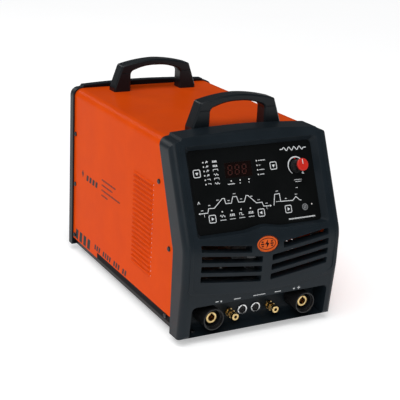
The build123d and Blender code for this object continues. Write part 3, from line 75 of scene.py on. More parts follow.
FILL_LIGHTS = (  # name, place, aim, width and height in metres, and power in watts
    ("pillar", (-1.5, -2.1, 1.5), (-0.15, -0.25, 0.25), (0.5, 1.2), 11),
    ("bend", (-1.1, 2.6, 1.7), (-0.1, 0, 0.3), (1.6, 0.7), 12),
    ("right", (2.8, -0.6, 1.3), (0.1, -0.2, 0.2), (0.8, 1.6), 5),
)


# --- Settings -----------------------------------------------------------------------------
def colour_setting(name, description, value):
    return bpy.props.FloatVectorProperty(
        name=name, description=description, subtype="COLOR", size=3, min=0, max=1, default=value
    )


def amount_setting(name, description, value, low=0.0, high=1.0, subtype="FACTOR"):
    return bpy.props.FloatProperty(
        name=name, description=description, subtype=subtype, min=low, max=high, default=value
    )


class WELDER_PG_case(bpy.types.PropertyGroup):
    """Colours and surfaces of the case"""

    paint: colour_setting("Cover paint", "Powder coat of the sheet cover", (0.79, 0.080, 0.004))
    frame: colour_setting("Frame plastic", "Moulded end frames", (0.0085, 0.0135, 0.0180))
    handle: colour_setting("Handle plastic", "Moulded handles", (0.0065, 0.0095, 0.0120))
    grain: amount_setting("Grain depth", "Depth of the moulded grain in millimetres", 0.035)
    peel: amount_setting("Orange peel", "Depth of the paint's ripple in millimetres", 0.012)
    dust: amount_setting("Dust", "Dust on the faces that look up", 0.02)
    stripe_top: amount_setting("Stripe top", "Height of the printed stripe", 0.041, 0.03, 0.1, "DISTANCE")
    stripe_end: amount_setting(
        "Stripe end", "Where the stripe ends along the side", 0.114, -0.2, 0.2, "DISTANCE"
    )


class WELDER_PG_panel(bpy.types.PropertyGroup):
    """Colours of the control panel"""

    film: colour_setting("Panel film", "Printed film of the faceplate", (0.0030, 0.0036, 0.0038))
    ink: colour_setting("Ink", "White printed marks", (0.80, 0.82, 0.83))
    window: colour_setting("Window", "Display window", (0.0055, 0.0016, 0.0010))
    segment: colour_setting("Segments", "Unlit display segments", (0.060, 0.010, 0.006))
    cap: colour_setting("Knob cap", "Cap of the control knob", (0.66, 0.022, 0.012))
    badge: colour_setting("Badge", "Badge above the vents", (0.78, 0.115, 0.008))


class WELDER_PG_stage(bpy.types.PropertyGroup):
    """Camera and light"""

    azimuth: amount_setting("Azimuth", "Camera direction in degrees", -29.205, -180, 180, "NONE")
    elevation: amount_setting("Elevation", "Camera height in degrees", 18.442, -89, 89, "NONE")
    roll: amount_setting("Roll", "Camera roll in degrees", 3.018, -45, 45, "NONE")
    distance: amount_setting("Distance", "Camera to aim point", 1.6956, 0.5, 10, "DISTANCE")
    lens: amount_setting("Lens", "Focal length in millimetres", 91.33, 10, 300, "NONE")
    aim: bpy.props.FloatVectorProperty(
        name="Aim", description="Point the camera looks at", subtype="TRANSLATION", size=3,
        default=(-0.1283, -0.252, 0.2669),
    )
    floor: colour_setting("Floor", "Plain pale floor", (0.92, 0.92, 0.92))
    floor_glow: amount_setting("Floor glow", "Light that the floor gives off", 0.42, 0, 1, "NONE")
    sky_light: amount_setting("Sky light", "Strength of the broad light from above", 1.75, 0, 20, "NONE")
    key_light: amount_setting("Key light", "Power of the soft light on the left side", 4, 0, 500, "NONE")
    surroundings: amount_setting("Surroundings", "Brightness of the studio's walls", 0.11, 0, 5, "NONE")


# --- Node trees ---------------------------------------------------------------------------
class Graph:
    """A node tree that is filled one node at a time."""

    def __init__(self, tree):
        self.tree = tree

    def node(self, kind, inputs=None, **settings):
        """A node with its settings; an input is a value or the output that feeds it."""
        made = self.tree.nodes.new(kind)
        for name, value in settings.items():
            setattr(made, name, value)
        for name, value in (inputs or {}).items():
            if isinstance(value, bpy.types.NodeSocket):
                self.tree.links.new(value, made.inputs[name])
            else:
                made.inputs[name].default_value = value
        return made

    def maths(self, operation, first, second=0.0, clamp=False):
        """Result of a sum on two values."""
        inputs = {0: first, 1: second}
        return self.node("ShaderNodeMath", inputs, operation=operation, use_clamp=clamp).outputs[0]

    def ramp(self, value, low, high, out_low=0.0, out_high=1.0):
        """Value moved from one range to another, held at its ends."""
        inputs = {"Value": value, "From Min": low, "From Max": high, "To Min": out_low, "To Max": out_high}
        return self.node("ShaderNodeMapRange", inputs).outputs[0]

    def blend(self, factor, first, second):
        """Mix of two colours."""
        made = self.node("ShaderNodeMix", {"Factor": factor}, data_type="RGBA")
        for socket, value in ((made.inputs[6], first), (made.inputs[7], second)):
            if isinstance(value, bpy.types.NodeSocket):
                self.tree.links.new(value, socket)
            else:
                socket.default_value = (*value[:3], 1)
        return made.outputs[2]

    def noise(self, where, scale, detail=3.0, rough=0.5):
        """Noise over a place, about 0.5."""
        inputs = {"Vector": where, "Scale": scale, "Detail": detail, "Roughness": rough}
        return self.node("ShaderNodeTexNoise", inputs).outputs[0]


def new_group(name, inputs, outputs):
    """An empty shader node group and its graph, with its input and output nodes."""
    tree = bpy.data.node_groups.new(name, "ShaderNodeTree")
    for socket_name, kind, value in inputs:
        socket = tree.interface.new_socket(socket_name, in_out="INPUT", socket_type=kind)
        if value is not None:
            socket.default_value = value
    for socket_name, kind in outputs:
        tree.interface.new_socket(socket_name, in_out="OUTPUT", socket_type=kind)
    graph = Graph(tree)
    return graph, graph.node("NodeGroupInput"), graph.node("NodeGroupOutput")


def make_grain_group():
    """Fine pebbled grain of a moulded or coated surface, and its broad unevenness."""
    graph, given, out = new_group(
        "Moulded Grain",
        [
            ("Vector", "NodeSocketVector", None),
            ("Scale", "NodeSocketFloat", 1600.0),
            ("Sharpness", "NodeSocketFloat", 0.5),
        ],
        [("Height", "NodeSocketFloat"), ("Tone", "NodeSocketFloat")],
    )
    pebbles = graph.node(
        "ShaderNodeTexVoronoi", {"Vector": given.outputs[0], "Scale": given.outputs[1]}, feature="SMOOTH_F1"
    ).outputs[0]
    fine = graph.noise(given.outputs[0], graph.maths("MULTIPLY", given.outputs[1], 1.7))
    cells = graph.maths("MULTIPLY", pebbles, given.outputs[2])
    graph.tree.links.new(graph.maths("ADD", cells, fine), out.inputs["Height"])
    graph.tree.links.new(graph.noise(given.outputs[0], 14.0, 4.0, 0.6), out.inputs["Tone"])
    return graph.tree


def make_edge_group():
    """Softened normal along sharp edges, and a mask of where those edges are."""
    graph, given, out = new_group(
        "Softened Edges",
        [("Radius", "NodeSocketFloat", 0.0006), ("Vector", "NodeSocketVector", None)],
        [("Normal", "NodeSocketVector"), ("Edge", "NodeSocketFloat")],
    )
    soft = graph.node("ShaderNodeBevel", {"Radius": given.outputs[0]}, samples=6).outputs[0]
    flat = graph.node("ShaderNodeNewGeometry").outputs["Normal"]
    facing = graph.node("ShaderNodeVectorMath", {0: soft, 1: flat}, operation="DOT_PRODUCT").outputs["Value"]
    rim = graph.ramp(facing, 0.985, 0.86)
    broken = graph.ramp(graph.noise(given.outputs[1], 260.0), 0.38, 0.62)
    graph.tree.links.new(soft, out.inputs["Normal"])
    graph.tree.links.new(graph.maths("MULTIPLY", rim, broken), out.inputs["Edge"])
    return graph.tree


def make_dust_group():
    """Mask of the light dust that settles on faces that look up."""
    graph, given, out = new_group(
        "Settled Dust",
        [("Vector", "NodeSocketVector", None), ("Amount", "NodeSocketFloat", 0.1)],
        [("Dust", "NodeSocketFloat")],
    )
    normal = graph.node("ShaderNodeNewGeometry").outputs["Normal"]
    up = graph.node("ShaderNodeSeparateXYZ", {0: normal}).outputs[2]
    patches = graph.ramp(graph.noise(given.outputs[0], 30.0, 6.0, 0.7), 0.35, 0.75)
    specks = graph.ramp(graph.noise(given.outputs[0], 900.0, 2.0), 0.45, 0.7)
    lying = graph.maths("MULTIPLY", graph.ramp(up, 0.2, 1.0), graph.maths("MULTIPLY", patches, specks))
    graph.tree.links.new(graph.maths("MULTIPLY", lying, given.outputs[1], clamp=True), out.inputs["Dust"])
    return graph.tree


def make_machining_group():
    """Fine rings left by a lathe on a piece whose axis runs front to rear."""
    graph, given, out = new_group(
        "Turning Marks",
        [("Vector", "NodeSocketVector", None), ("Pitch", "NodeSocketFloat", 2600.0)],
        [("Height", "NodeSocketFloat"), ("Stain", "NodeSocketFloat")],
    )
    along = graph.node("ShaderNodeSeparateXYZ", {0: given.outputs[0]}).outputs[1]
    wobble = graph.maths("MULTIPLY", graph.noise(given.outputs[0], 400.0), 0.0006)
    turns = graph.maths("MULTIPLY", graph.maths("ADD", along, wobble), given.outputs[1])
    graph.tree.links.new(graph.maths("SINE", turns), out.inputs["Height"])
    graph.tree.links.new(graph.noise(given.outputs[0], 180.0, 5.0, 0.65), out.inputs["Stain"])
    return graph.tree


GROUP_MAKERS = {
    "Moulded Grain": make_grain_group,
    "Softened Edges": make_edge_group,
    "Settled Dust": make_dust_group,
    "Turning Marks": make_machining_group,
}


class Finish(Graph):
    """A material being made: its shader, its own place coordinates and the shared groups."""

    def __init__(self, name, roughness, metallic=0.0, coat=0.0, coat_roughness=0.1, ior=1.5):
        self.material = bpy.data.materials.new(name)
        self.material.use_nodes = True
        super().__init__(self.material.node_tree)
        self.shader = self.tree.nodes["Principled BSDF"]
        self.shader.inputs["Roughness"].default_value = roughness
        self.shader.inputs["Metallic"].default_value = metallic
        self.shader.inputs["Coat Weight"].default_value = coat
        self.shader.inputs["Coat Roughness"].default_value = coat_roughness
        self.shader.inputs["IOR"].default_value = ior
        self.where = self.node("ShaderNodeTexCoord").outputs["Object"]

    def group(self, name, inputs):
        """One of the shared effects, placed in this material with its own values."""
        tree = bpy.data.node_groups.get(name) or GROUP_MAKERS[name]()
        made = self.node("ShaderNodeGroup", inputs, node_tree=tree)
        if "Vector" in made.inputs and "Vector" not in inputs:
            self.tree.links.new(self.where, made.inputs["Vector"])
        return made

    def feed(self, socket, value):
        """Link an output to one of the shader's own sockets."""
        self.tree.links.new(value, self.shader.inputs[socket])

    def bump(self, height, depth, normal=None):
        """Relief of a depth in millimetres, over a normal."""
        inputs = {"Height": height, "Distance": depth * MM, "Strength": 1.0}
        if normal is not None:
            inputs["Normal"] = normal
        self.feed("Normal", self.node("ShaderNodeBump", inputs).outputs[0])


def moulded(
    name, colour, roughness=0.42, scale=1700.0, depth=0.035, edge=0.0006, dust=0.05, painted_edge_sheen=0.35, ior=1.38
):
    """Grained plastic moulding with softened edges, its colour lightened along them as a painted highlight."""
    made = Finish(name, roughness, ior=ior)
    grain = made.group("Moulded Grain", {"Scale": scale})
    rim = made.group("Softened Edges", {"Radius": edge})
    settled = made.group("Settled Dust", {"Amount": dust})
    dark = [0.86 * part for part in colour]
    light = [1.16 * part for part in colour]
    tone = made.blend(made.ramp(grain.outputs["Tone"], 0.3, 0.7), dark, light)
    # Painted highlight: the colour is lightened along sharp edges, as strongly as the edge mask times the sheen
    # amount.
    edge_highlight_colour = [2.2 * part + 0.01 for part in colour]
    tone_with_edge_highlight = made.blend(made.maths("MULTIPLY", rim.outputs["Edge"], painted_edge_sheen), tone, edge_highlight_colour)
    made.feed("Base Color", made.blend(settled.outputs["Dust"], tone_with_edge_highlight, (0.42, 0.40, 0.37)))
    rough = made.ramp(grain.outputs["Tone"], 0.25, 0.75, roughness - 0.05, roughness + 0.06)
    dulled = made.maths("MULTIPLY", settled.outputs["Dust"], 0.4)
    made.feed("Roughness", made.maths("ADD", rough, dulled, clamp=True))
    made.bump(grain.outputs["Height"], depth, rim.outputs["Normal"])
    return made.material


def cover_paint(case):
    """Orange powder coat with a printed black stripe along the foot of both sides."""
    made = Finish("cover powder coat", 0.36, coat=0.03, coat_roughness=0.12, ior=1.06)
    grain = made.group("Moulded Grain", {"Scale": 620.0, "Sharpness": 0.25})
    rim = made.group("Softened Edges", {"Radius": 0.0007})
    settled = made.group("Settled Dust", {"Amount": case.dust})
    paint = list(case.paint)
    deep = [0.93 * paint[0], 0.86 * paint[1], 0.80 * paint[2]]
    tone = made.blend(made.ramp(grain.outputs["Tone"], 0.3, 0.7), deep, paint)
    place = made.node("ShaderNodeSeparateXYZ", {0: made.where})
    under = made.ramp(place.outputs[2], case.stripe_top + 0.0002, case.stripe_top - 0.0002)
    before = made.ramp(place.outputs[1], case.stripe_end + 0.0002, case.stripe_end - 0.0002)
    stripe = made.maths("MULTIPLY", under, before)
    printed = made.blend(stripe, tone, BLACK_INK)
    made.feed("Base Color", made.blend(settled.outputs["Dust"], printed, (0.62, 0.42, 0.30)))
    made.feed("Roughness", made.ramp(grain.outputs["Tone"], 0.25, 0.75, 0.32, 0.41))
    made.bump(grain.outputs["Height"], case.peel, rim.outputs["Normal"])
    return made.material


def coated_steel(name, colour, roughness=0.4, depth=0.02):
    """Black powder coat, a little coarser than the cover's."""
    # Painted highlight along the sharp edges, at half strength.
    return moulded(name, colour, roughness, 1100.0, depth, edge=0.0005, dust=0.03, painted_edge_sheen=0.5, ior=1.25)


def turned_metal(name, colour, roughness=0.22, pitch=2600.0, depth=0.004):
    """Machined metal with turning marks, faint stains and a painted highlight along its sharp edges."""
    made = Finish(name, roughness, metallic=1.0)
    marks = made.group("Turning Marks", {"Pitch": pitch})
    rim = made.group("Softened Edges", {"Radius": 0.0004})
    dark = [0.62 * part for part in colour]
    stained = made.blend(made.ramp(marks.outputs["Stain"], 0.35, 0.72), colour, dark)
    # Painted highlight: the colour is brightened along sharp edges.
    made.feed("Base Color", made.blend(rim.outputs["Edge"], stained, [min(1, 1.2 * part) for part in colour]))
    made.feed("Roughness", made.ramp(marks.outputs["Stain"], 0.3, 0.8, roughness, roughness + 0.16))
    made.bump(marks.outputs["Height"], depth, rim.outputs["Normal"])
    return made.material


def rolled_metal(name, colour, roughness=0.34, stretch=(40.0, 1600.0, 40.0)):
    """Rolled or plated sheet with fine lines along one direction."""
    made = Finish(name, roughness, metallic=1.0)
    drawn = made.node("ShaderNodeMapping", {"Vector": made.where, "Scale": stretch}).outputs[0]
    lines = made.noise(drawn, 1.0, 5.0, 0.6)
    rim = made.group("Softened Edges", {"Radius": 0.0004})
    dull = [0.78 * part for part in colour]
    made.feed("Base Color", made.blend(made.ramp(lines, 0.3, 0.7), dull, colour))
    made.feed("Roughness", made.ramp(lines, 0.3, 0.7, roughness - 0.06, roughness + 0.1))
    made.bump(lines, 0.006, rim.outputs["Normal"])
    return made.material


def smooth_plastic(name, colour, roughness=0.16, coat=0.5, ior=1.45):
    """Polished moulding with faint flow marks."""
    made = Finish(name, roughness, coat=coat, coat_roughness=0.05, ior=ior)
    flow = made.noise(made.where, 60.0, 4.0)
    rim = made.group("Softened Edges", {"Radius": 0.0005})
    deep = [0.84 * part for part in colour]
    made.feed("Base Color", made.blend(made.ramp(flow, 0.3, 0.7), deep, colour))
    made.feed("Roughness", made.ramp(flow, 0.3, 0.7, roughness, roughness + 0.08))
    made.bump(made.noise(made.where, 900.0, 2.0), 0.004, rim.outputs["Normal"])
    return made.material


def ink(name, colour, roughness=0.45):
    """Screen-printed ink, a little uneven in cover."""
    made = Finish(name, roughness, ior=1.2)
    cover = made.ramp(made.noise(made.where, 1400.0, 3.0, 0.6), 0.3, 0.6)
    thin = [0.80 * part for part in colour]
    made.feed("Base Color", made.blend(cover, thin, colour))
    made.feed("Roughness", made.ramp(cover, 0, 1, roughness + 0.1, roughness))
    made.bump(cover, 0.01)
    return made.material


def circuit_board():
    """Green solder mask over a maze of tracks, with tinned pads."""
    made = Finish("circuit board", 0.35, coat=0.3)
    cells = made.node(
        "ShaderNodeTexVoronoi",
        {"Vector": made.where, "Scale": 240.0},
        distance="CHEBYCHEV",
        feature="DISTANCE_TO_EDGE",
    ).outputs[0]
    tracks = made.ramp(cells, 0.05, 0.08)
    spots = made.node("ShaderNodeTexVoronoi", {"Vector": made.where, "Scale": 160.0}).outputs[0]
    pads = made.ramp(spots, 0.16, 0.12)
    board = made.blend(tracks, (0.03, 0.16, 0.07), (0.012, 0.085, 0.035))
    made.feed("Base Color", made.blend(pads, board, (0.55, 0.56, 0.54)))
    made.feed("Metallic", pads)
    made.bump(made.maths("ADD", tracks, pads), 0.03)
    return made.material


def winding():
    """Varnished copper wire laid in layers."""
    made = Finish("winding", 0.3, metallic=0.8, coat=0.6)
    wires = made.node(
        "ShaderNodeTexWave", {"Vector": made.where, "Scale": 160.0, "Distortion": 0.4}, bands_direction="Z"
    ).outputs["Fac"]
    made.feed("Base Color", made.blend(wires, (0.20, 0.07, 0.03), (0.62, 0.28, 0.13)))
    made.bump(wires, 0.4)
    return made.material


def light_lens():
    """Small clear lens with a milky middle."""
    made = Finish("led lens", 0.2, coat=0.6, coat_roughness=0.04)
    made.feed("Base Color", made.blend(made.noise(made.where, 700.0), (0.62, 0.63, 0.62), (0.86, 0.87, 0.86)))
    made.bump(made.noise(made.where, 1500.0), 0.01)
    return made.material


_materials = {}


def material(slot):
    """The material of a slot of the record, made once."""
    case = bpy.context.scene.welder_case
    panel = bpy.context.scene.welder_panel
    # In each moulded() call the eighth value, where given, is the strength of its painted edge highlight.
    makers = {
        "frame_plastic": lambda: moulded(
            "frame moulding", list(case.frame), 0.40, 1500.0, case.grain, 0.0009, case.dust, 0.35, 1.26
        ),
        "handle_plastic": lambda: moulded(
            "handle moulding", list(case.handle), 0.34, 1900.0, 0.6 * case.grain, 0.001, case.dust, 0.8, 1.30
        ),
        "panel_film": lambda: moulded(
            "panel film", list(panel.film), 0.36, 3200.0, 0.008, 0.0003, 0.01, 0.2, 1.22
        ),
        "display_red": lambda: smooth_plastic("display window", list(panel.window), 0.12, 0.1, 1.3),
        "display_digit": lambda: smooth_plastic("display digits", list(panel.segment), 0.3, 0.2),
        "led_lens": light_lens,
        "key_cap": lambda: moulded(
            "key film", list(panel.film), 0.33, 3200.0, 0.008, 0.0004, 0.01, 0.8, 1.25
        ),
        "key_cap_grey": lambda: moulded(
            "gas key film", (0.020, 0.022, 0.025), 0.33, 3200.0, 0.008, 0.0004, 0.02, 0.8
        ),
        "knob_black": lambda: moulded(
            "knob moulding", (0.012, 0.012, 0.013), 0.38, 2600.0, 0.02, 0.0004, 0.03
        ),
        "knob_red": lambda: smooth_plastic("knob cap", list(panel.cap), 0.26, 0.3),
        "steel": lambda: rolled_metal("plated steel", (0.60, 0.61, 0.62)),
        "circuit_board": circuit_board,
        "badge_orange": lambda: smooth_plastic("badge enamel", list(panel.badge), 0.22, 0.6),
        "tray_black": lambda: coated_steel("tray powder coat", (0.005, 0.005, 0.006)),
        "foot_rubber": lambda: moulded("foot rubber", (0.012, 0.012, 0.012), 0.7, 1300.0, 0.05, 0.0008, 0.12),
        "cover_orange": lambda: cover_paint(case),
        "black_screw": lambda: turned_metal("blackened screw", (0.055, 0.055, 0.06), 0.3, 3400.0, 0.003),
        "socket_plastic": lambda: moulded(
            "socket moulding", (0.011, 0.011, 0.012), 0.3, 2400.0, 0.012, 0.0006, 0.03
        ),
        "lever_plastic": lambda: moulded(
            "lever moulding", (0.02, 0.02, 0.021), 0.35, 2400.0, 0.012, 0.0006, 0.03
        ),
        "brass": lambda: turned_metal("machined brass", (0.83, 0.60, 0.27), 0.2),
        "chrome": lambda: turned_metal("bright plating", (0.80, 0.81, 0.82), 0.12, 3200.0, 0.002),
        "fan_plastic": lambda: moulded(
            "fan moulding", (0.014, 0.014, 0.015), 0.42, 2000.0, 0.02, 0.0006, 0.1
        ),
        "aluminium": lambda: rolled_metal("extruded aluminium", (0.74, 0.75, 0.76), 0.38),
        "winding": winding,
        "capacitor_sleeve": lambda: smooth_plastic("capacitor sleeve", (0.03, 0.045, 0.12), 0.25, 0.4),
    }
    if slot not in _materials:
        _materials[slot] = makers[slot]()
    return _materials[slot]


def white_ink():
    """The panel's white ink, made once."""
    if "white" not in _materials:
        _materials["white"] = ink("white ink", list(bpy.context.scene.welder_panel.ink))
    return _materials["white"]


def dark_ink():
    """The ink of the side, badge and plate marks, made once."""
    if "dark" not in _materials:
        _materials["dark"] = ink("dark ink", BLACK_INK, 0.38)
    return _materials["dark"]


SHADE_DARKENED = {"front_posts": "tray_black"}  # steel nodes given the tray's black coat as painted shade, so that the gap beside the bezel stays dark


def dress(*names):
    """Give CAD nodes the material of their slots; a few steel nodes get the tray's black coat instead, as painted
    shade.
    """
    for name in names:
        mesh = frame["nodes"][name].data
        mesh.materials.clear()
        mesh.materials.append(material(SHADE_DARKENED.get(name) or SLOT_OF[name]))


# --- Thin printed and moulded shapes --------------------------------------------------------
def on_panel(x, up, rise=0.0):
    """Point on the faceplate: across, up the slope and out of it."""
    return PANEL_FOOT + Vector((x * MM, 0, 0)) + PANEL_UP * up * MM + PANEL_OUT * rise * MM


def laid_on(node, plane, towards):
    """A place function that lays (across, up, rise) on a node's surface.

    plane turns across and up into a point outside the surface; towards is the way to it.
    """
    tree = BVHTree.FromObject(frame["nodes"][node], bpy.context.evaluated_depsgraph_get())

    def place(across, up, rise=0.0):
        hit = tree.ray_cast(plane(across, up), towards)[0]
        if hit is None:
            raise ValueError(f"{node} has no surface at {across:.1f}, {up:.1f}")
        return hit - towards * rise * MM

    return place


def turned_points(centre, radius, start=0.0, end=360.0, steps=32):
    """Points round a circle, from one angle to another in degrees."""
    angles = [math.radians(start + (end - start) * step / steps) for step in range(steps + 1)]
    return [(centre[0] + radius * math.cos(a), centre[1] + radius * math.sin(a)) for a in angles]


class Marks:
    """Thin closed shapes gathered into one mesh. place turns (across, up, rise) into a point."""

    def __init__(self, place, thick=PRINT):
        self.place = place
        self.thick = thick
        self.mesh = bmesh.new()

    def _wall(self, outline):
        low = [self.mesh.verts.new(self.place(x, y, -0.03)) for x, y in outline]
        high = [self.mesh.verts.new(self.place(x, y, self.thick)) for x, y in outline]
        return low, high

    def fill(self, outline):
        """A filled shape."""
        low, high = self._wall(outline)
        count = len(outline)
        self.mesh.faces.new(high)
        self.mesh.faces.new(low[::-1])
        for i in range(count):
            j = (i + 1) % count
            self.mesh.faces.new((low[i], low[j], high[j], high[i]))

    def line(self, points, width, closed=False):
        """A line of one width along points, with mitred corners."""
        points = [Vector(p) for p in points]
        count = len(points)
        left, right = [], []
        for i, point in enumerate(points):
            before = points[i - 1] if closed or i else None
            after = points[(i + 1) % count] if closed or i < count - 1 else None
            arm_in = (point - before).normalized() if before is not None else None
            arm_out = (after - point).normalized() if after is not None else None
            arm_in, arm_out = arm_in or arm_out, arm_out or arm_in
            across_in = Vector((-arm_in.y, arm_in.x))
            across_out = Vector((-arm_out.y, arm_out.x))
            mitre = (across_in + across_out).normalized()
            reach = width / 2 / max(0.45, mitre.dot(across_in))
            left.append(point + mitre * reach)
            right.append(point - mitre * reach)
        self._strip(left, right, closed)

    def _strip(self, left, right, closed):
        left_low, left_high = self._wall(left)
        right_low, right_high = self._wall(right)
        count = len(left)
        for i in range(count if closed else count - 1):
            j = (i + 1) % count
            self.mesh.faces.new((left_high[i], left_high[j], right_high[j], right_high[i]))
            self.mesh.faces.new((left_low[j], left_low[i], right_low[i], right_low[j]))
            self.mesh.faces.new((left_low[i], left_low[j], left_high[j], left_high[i]))
            self.mesh.faces.new((right_low[j], right_low[i], right_high[i], right_high[j]))
        if not closed:
            self.mesh.faces.new((left_low[0], left_high[0], right_high[0], right_low[0]))
            self.mesh.faces.new((left_low[-1], right_low[-1], right_high[-1], left_high[-1]))

    def crescent(self, centre, radius, widest, start, end, peak, steps=48):
        """An arc that is widest at its peak angle and thins out on both sides of it."""
        inner, outer = [], []
        for step in range(steps + 1):
            angle = start + (end - start) * step / steps
            swell = math.cos(min(1.0, abs(angle - peak) / (end - peak)) * math.pi / 2)
            width = 0.5 + widest * swell
            turn = Vector((math.cos(math.radians(angle)), math.sin(math.radians(angle))))
            inner.append(Vector(centre) + turn * radius)
            outer.append(Vector(centre) + turn * (radius + width))
        self._strip(outer, inner, False)

    def ring(self, centre, radius, width, steps=32):
        self.line(turned_points(centre, radius, 0, 360 - 360 / steps, steps - 1), width, closed=True)

    def dot(self, centre, radius, steps=16):
        self.fill(turned_points(centre, radius, 0, 360 - 360 / steps, steps - 1))

    def bar(self, centre, length, height, slant=0.0):
        x, y = centre
        left, right = x - length / 2, x + length / 2
        low, high = y - height / 2, y + height / 2
        self.fill([(left - slant, low), (right - slant, low), (right + slant, high), (left + slant, high)])

    def triangle(self, centre, size, heading):
        """A triangle that points along a heading in degrees."""
        self.fill(turned_points(centre, size, heading, heading + 240, 2))

    def square(self, centre, side, width, corner=2.4):
        """Rounded square outline, its side measured over the line."""
        half = (side - width) / 2 - corner
        outline = []
        for turn, sx, sy in ((0, 1, 1), (90, -1, 1), (180, -1, -1), (270, 1, -1)):
            middle = (centre[0] + sx * half, centre[1] + sy * half)
            outline += turned_points(middle, corner, turn, turn + 90, 5)
        self.line(outline, width, closed=True)

    def caption(self, left, up, length, height=1.5, seed=0, dash=1.5):
        """A row of short dashes, about one length each, where a caption would be."""
        x = left
        step = seed
        while x < left + length - 0.4 * dash:
            reach = min(dash * (0.73 + 0.15 * ((step * 7 + 3) % 5)), left + length - x)
            self.bar((x + reach / 2, up), reach, height * (0.8 + 0.1 * ((step * 5) % 3)))
            x += reach + 0.37 * dash
            step += 1

    def finish(self, name, surface, body="housing"):
        """Close the mesh into an object that rides on a body."""
        bmesh.ops.remove_doubles(self.mesh, verts=self.mesh.verts, dist=1e-7)
        bmesh.ops.recalc_face_normals(self.mesh, faces=self.mesh.faces)
        data = bpy.data.meshes.new(name)
        self.mesh.to_mesh(data)
        self.mesh.free()
        data.materials.append(surface)
        piece = bpy.data.objects.new(name, data)
        bpy.context.scene.collection.objects.link(piece)
        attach(piece, body)
        return piece


# --- Operators ------------------------------------------------------------------------------
class WELDER_OT_stage(bpy.types.Operator):
    """Set the camera, the floor and the soft studio light"""

    bl_idname = "welder.stage"
    bl_label = "Stage"

    def execute(self, context):
        stage = context.scene.welder_stage
        azimuth, elevation = math.radians(stage.azimuth), math.radians(stage.elevation)
        back = Vector((
            math.sin(azimuth) * math.cos(elevation),
            -math.cos(azimuth) * math.cos(elevation),
            math.sin(elevation),
        ))
        level = Vector((math.cos(azimuth), math.sin(azimuth), 0))
        upward = back.cross(level)
        roll = math.radians(stage.roll)
        right = math.cos(roll) * level + math.sin(roll) * upward
        top = -math.sin(roll) * level + math.cos(roll) * upward
        camera = bpy.data.objects.new("camera", bpy.data.cameras.new("camera"))
        camera.data.lens = stage.lens
        camera.data.sensor_width = 36.0
        turn = Matrix((right, top, back)).transposed()
        camera.matrix_world = Matrix.Translation(Vector(stage.aim) + back * stage.distance) @ turn.to_4x4()
        context.scene.collection.objects.link(camera)
        context.scene.camera = camera

        half = 12.0
        corners = [(-half, -half, 0), (half, -half, 0), (half, half, 0), (-half, half, 0)]
        data = bpy.data.meshes.new("floor")
        data.from_pydata(corners, [], [(0, 1, 2, 3)])
        floor = bpy.data.objects.new("floor", data)
        surface = Finish("floor paper", 0.9, ior=1.1)
        pale = list(stage.floor)
        grain = surface.noise(surface.where, 3.0, 4.0)
        surface.feed("Base Color", surface.blend(grain, pale, [0.97 * part for part in pale]))
        surface.shader.inputs["Emission Color"].default_value = (1, 1, 1, 1)
        surface.shader.inputs["Emission Strength"].default_value = stage.floor_glow
        data.materials.append(surface.material)
        context.scene.collection.objects.link(floor)

        self.sun("sky light", (-0.30, -0.36, 0.88), stage.sky_light)
        self.light("key", (-2.6, -0.7, 1.1), (0, 0, 0.2), (1.4, 1.6), stage.key_light)
        for name, place, aim, size, power in FILL_LIGHTS:
            self.light(name, place, aim, size, power)

        world = bpy.data.worlds.new("studio")
        world.use_nodes = True
        sky = world.node_tree.nodes["Background"]
        sky.inputs["Color"].default_value = (0.93, 0.96, 1, 1)
        sky.inputs["Strength"].default_value = stage.surroundings
        context.scene.world = world
        context.scene.view_settings.view_transform = "Standard"
        return {"FINISHED"}

    def sun(self, name, direction, strength):
        """A very broad light from a direction, the same all over the floor."""
        lamp = bpy.data.lights.new(name, "SUN")
        lamp.angle = math.radians(50)
        lamp.energy = strength
        made = bpy.data.objects.new(name, lamp)
        made.rotation_euler = (-Vector(direction)).to_track_quat("-Z", "Y").to_euler()
        bpy.context.scene.collection.objects.link(made)

    def light(self, name, place, aim, size, power):
        """A rectangular soft light at a place, aimed at a point."""
        lamp = bpy.data.lights.new(name, "AREA")
        lamp.shape = "RECTANGLE"
        lamp.size, lamp.size_y = size
        lamp.energy = power
        made = bpy.data.objects.new(name, lamp)
        made.location = place
        made.rotation_euler = (Vector(aim) - Vector(place)).to_track_quat("-Z", "Y").to_euler()
        bpy.context.scene.collection.objects.link(made)


class WELDER_OT_case(bpy.types.Operator):
    """Finish the frames, the cover, the tray, the feet and their screws"""

    bl_idname = "welder.case"
    bl_label = "Case"

    def execute(self, context):
        dress("front_bezel", "rear_frame", "cover", "base_tray", "rear_panel", "cover_screws", "frame_screws")
        dress("foot_front_left", "foot_front_right", "foot_rear_left", "foot_rear_right")
        return {"FINISHED"}


class WELDER_OT_handles(bpy.types.Operator):
    """Finish the two carrying handles and what holds them"""

    bl_idname = "welder.handles"
    bl_label = "Handles"

    def execute(self, context):
        dress("front_handle", "rear_handle", "handle_braces", "handle_screws")
        return {"FINISHED"}


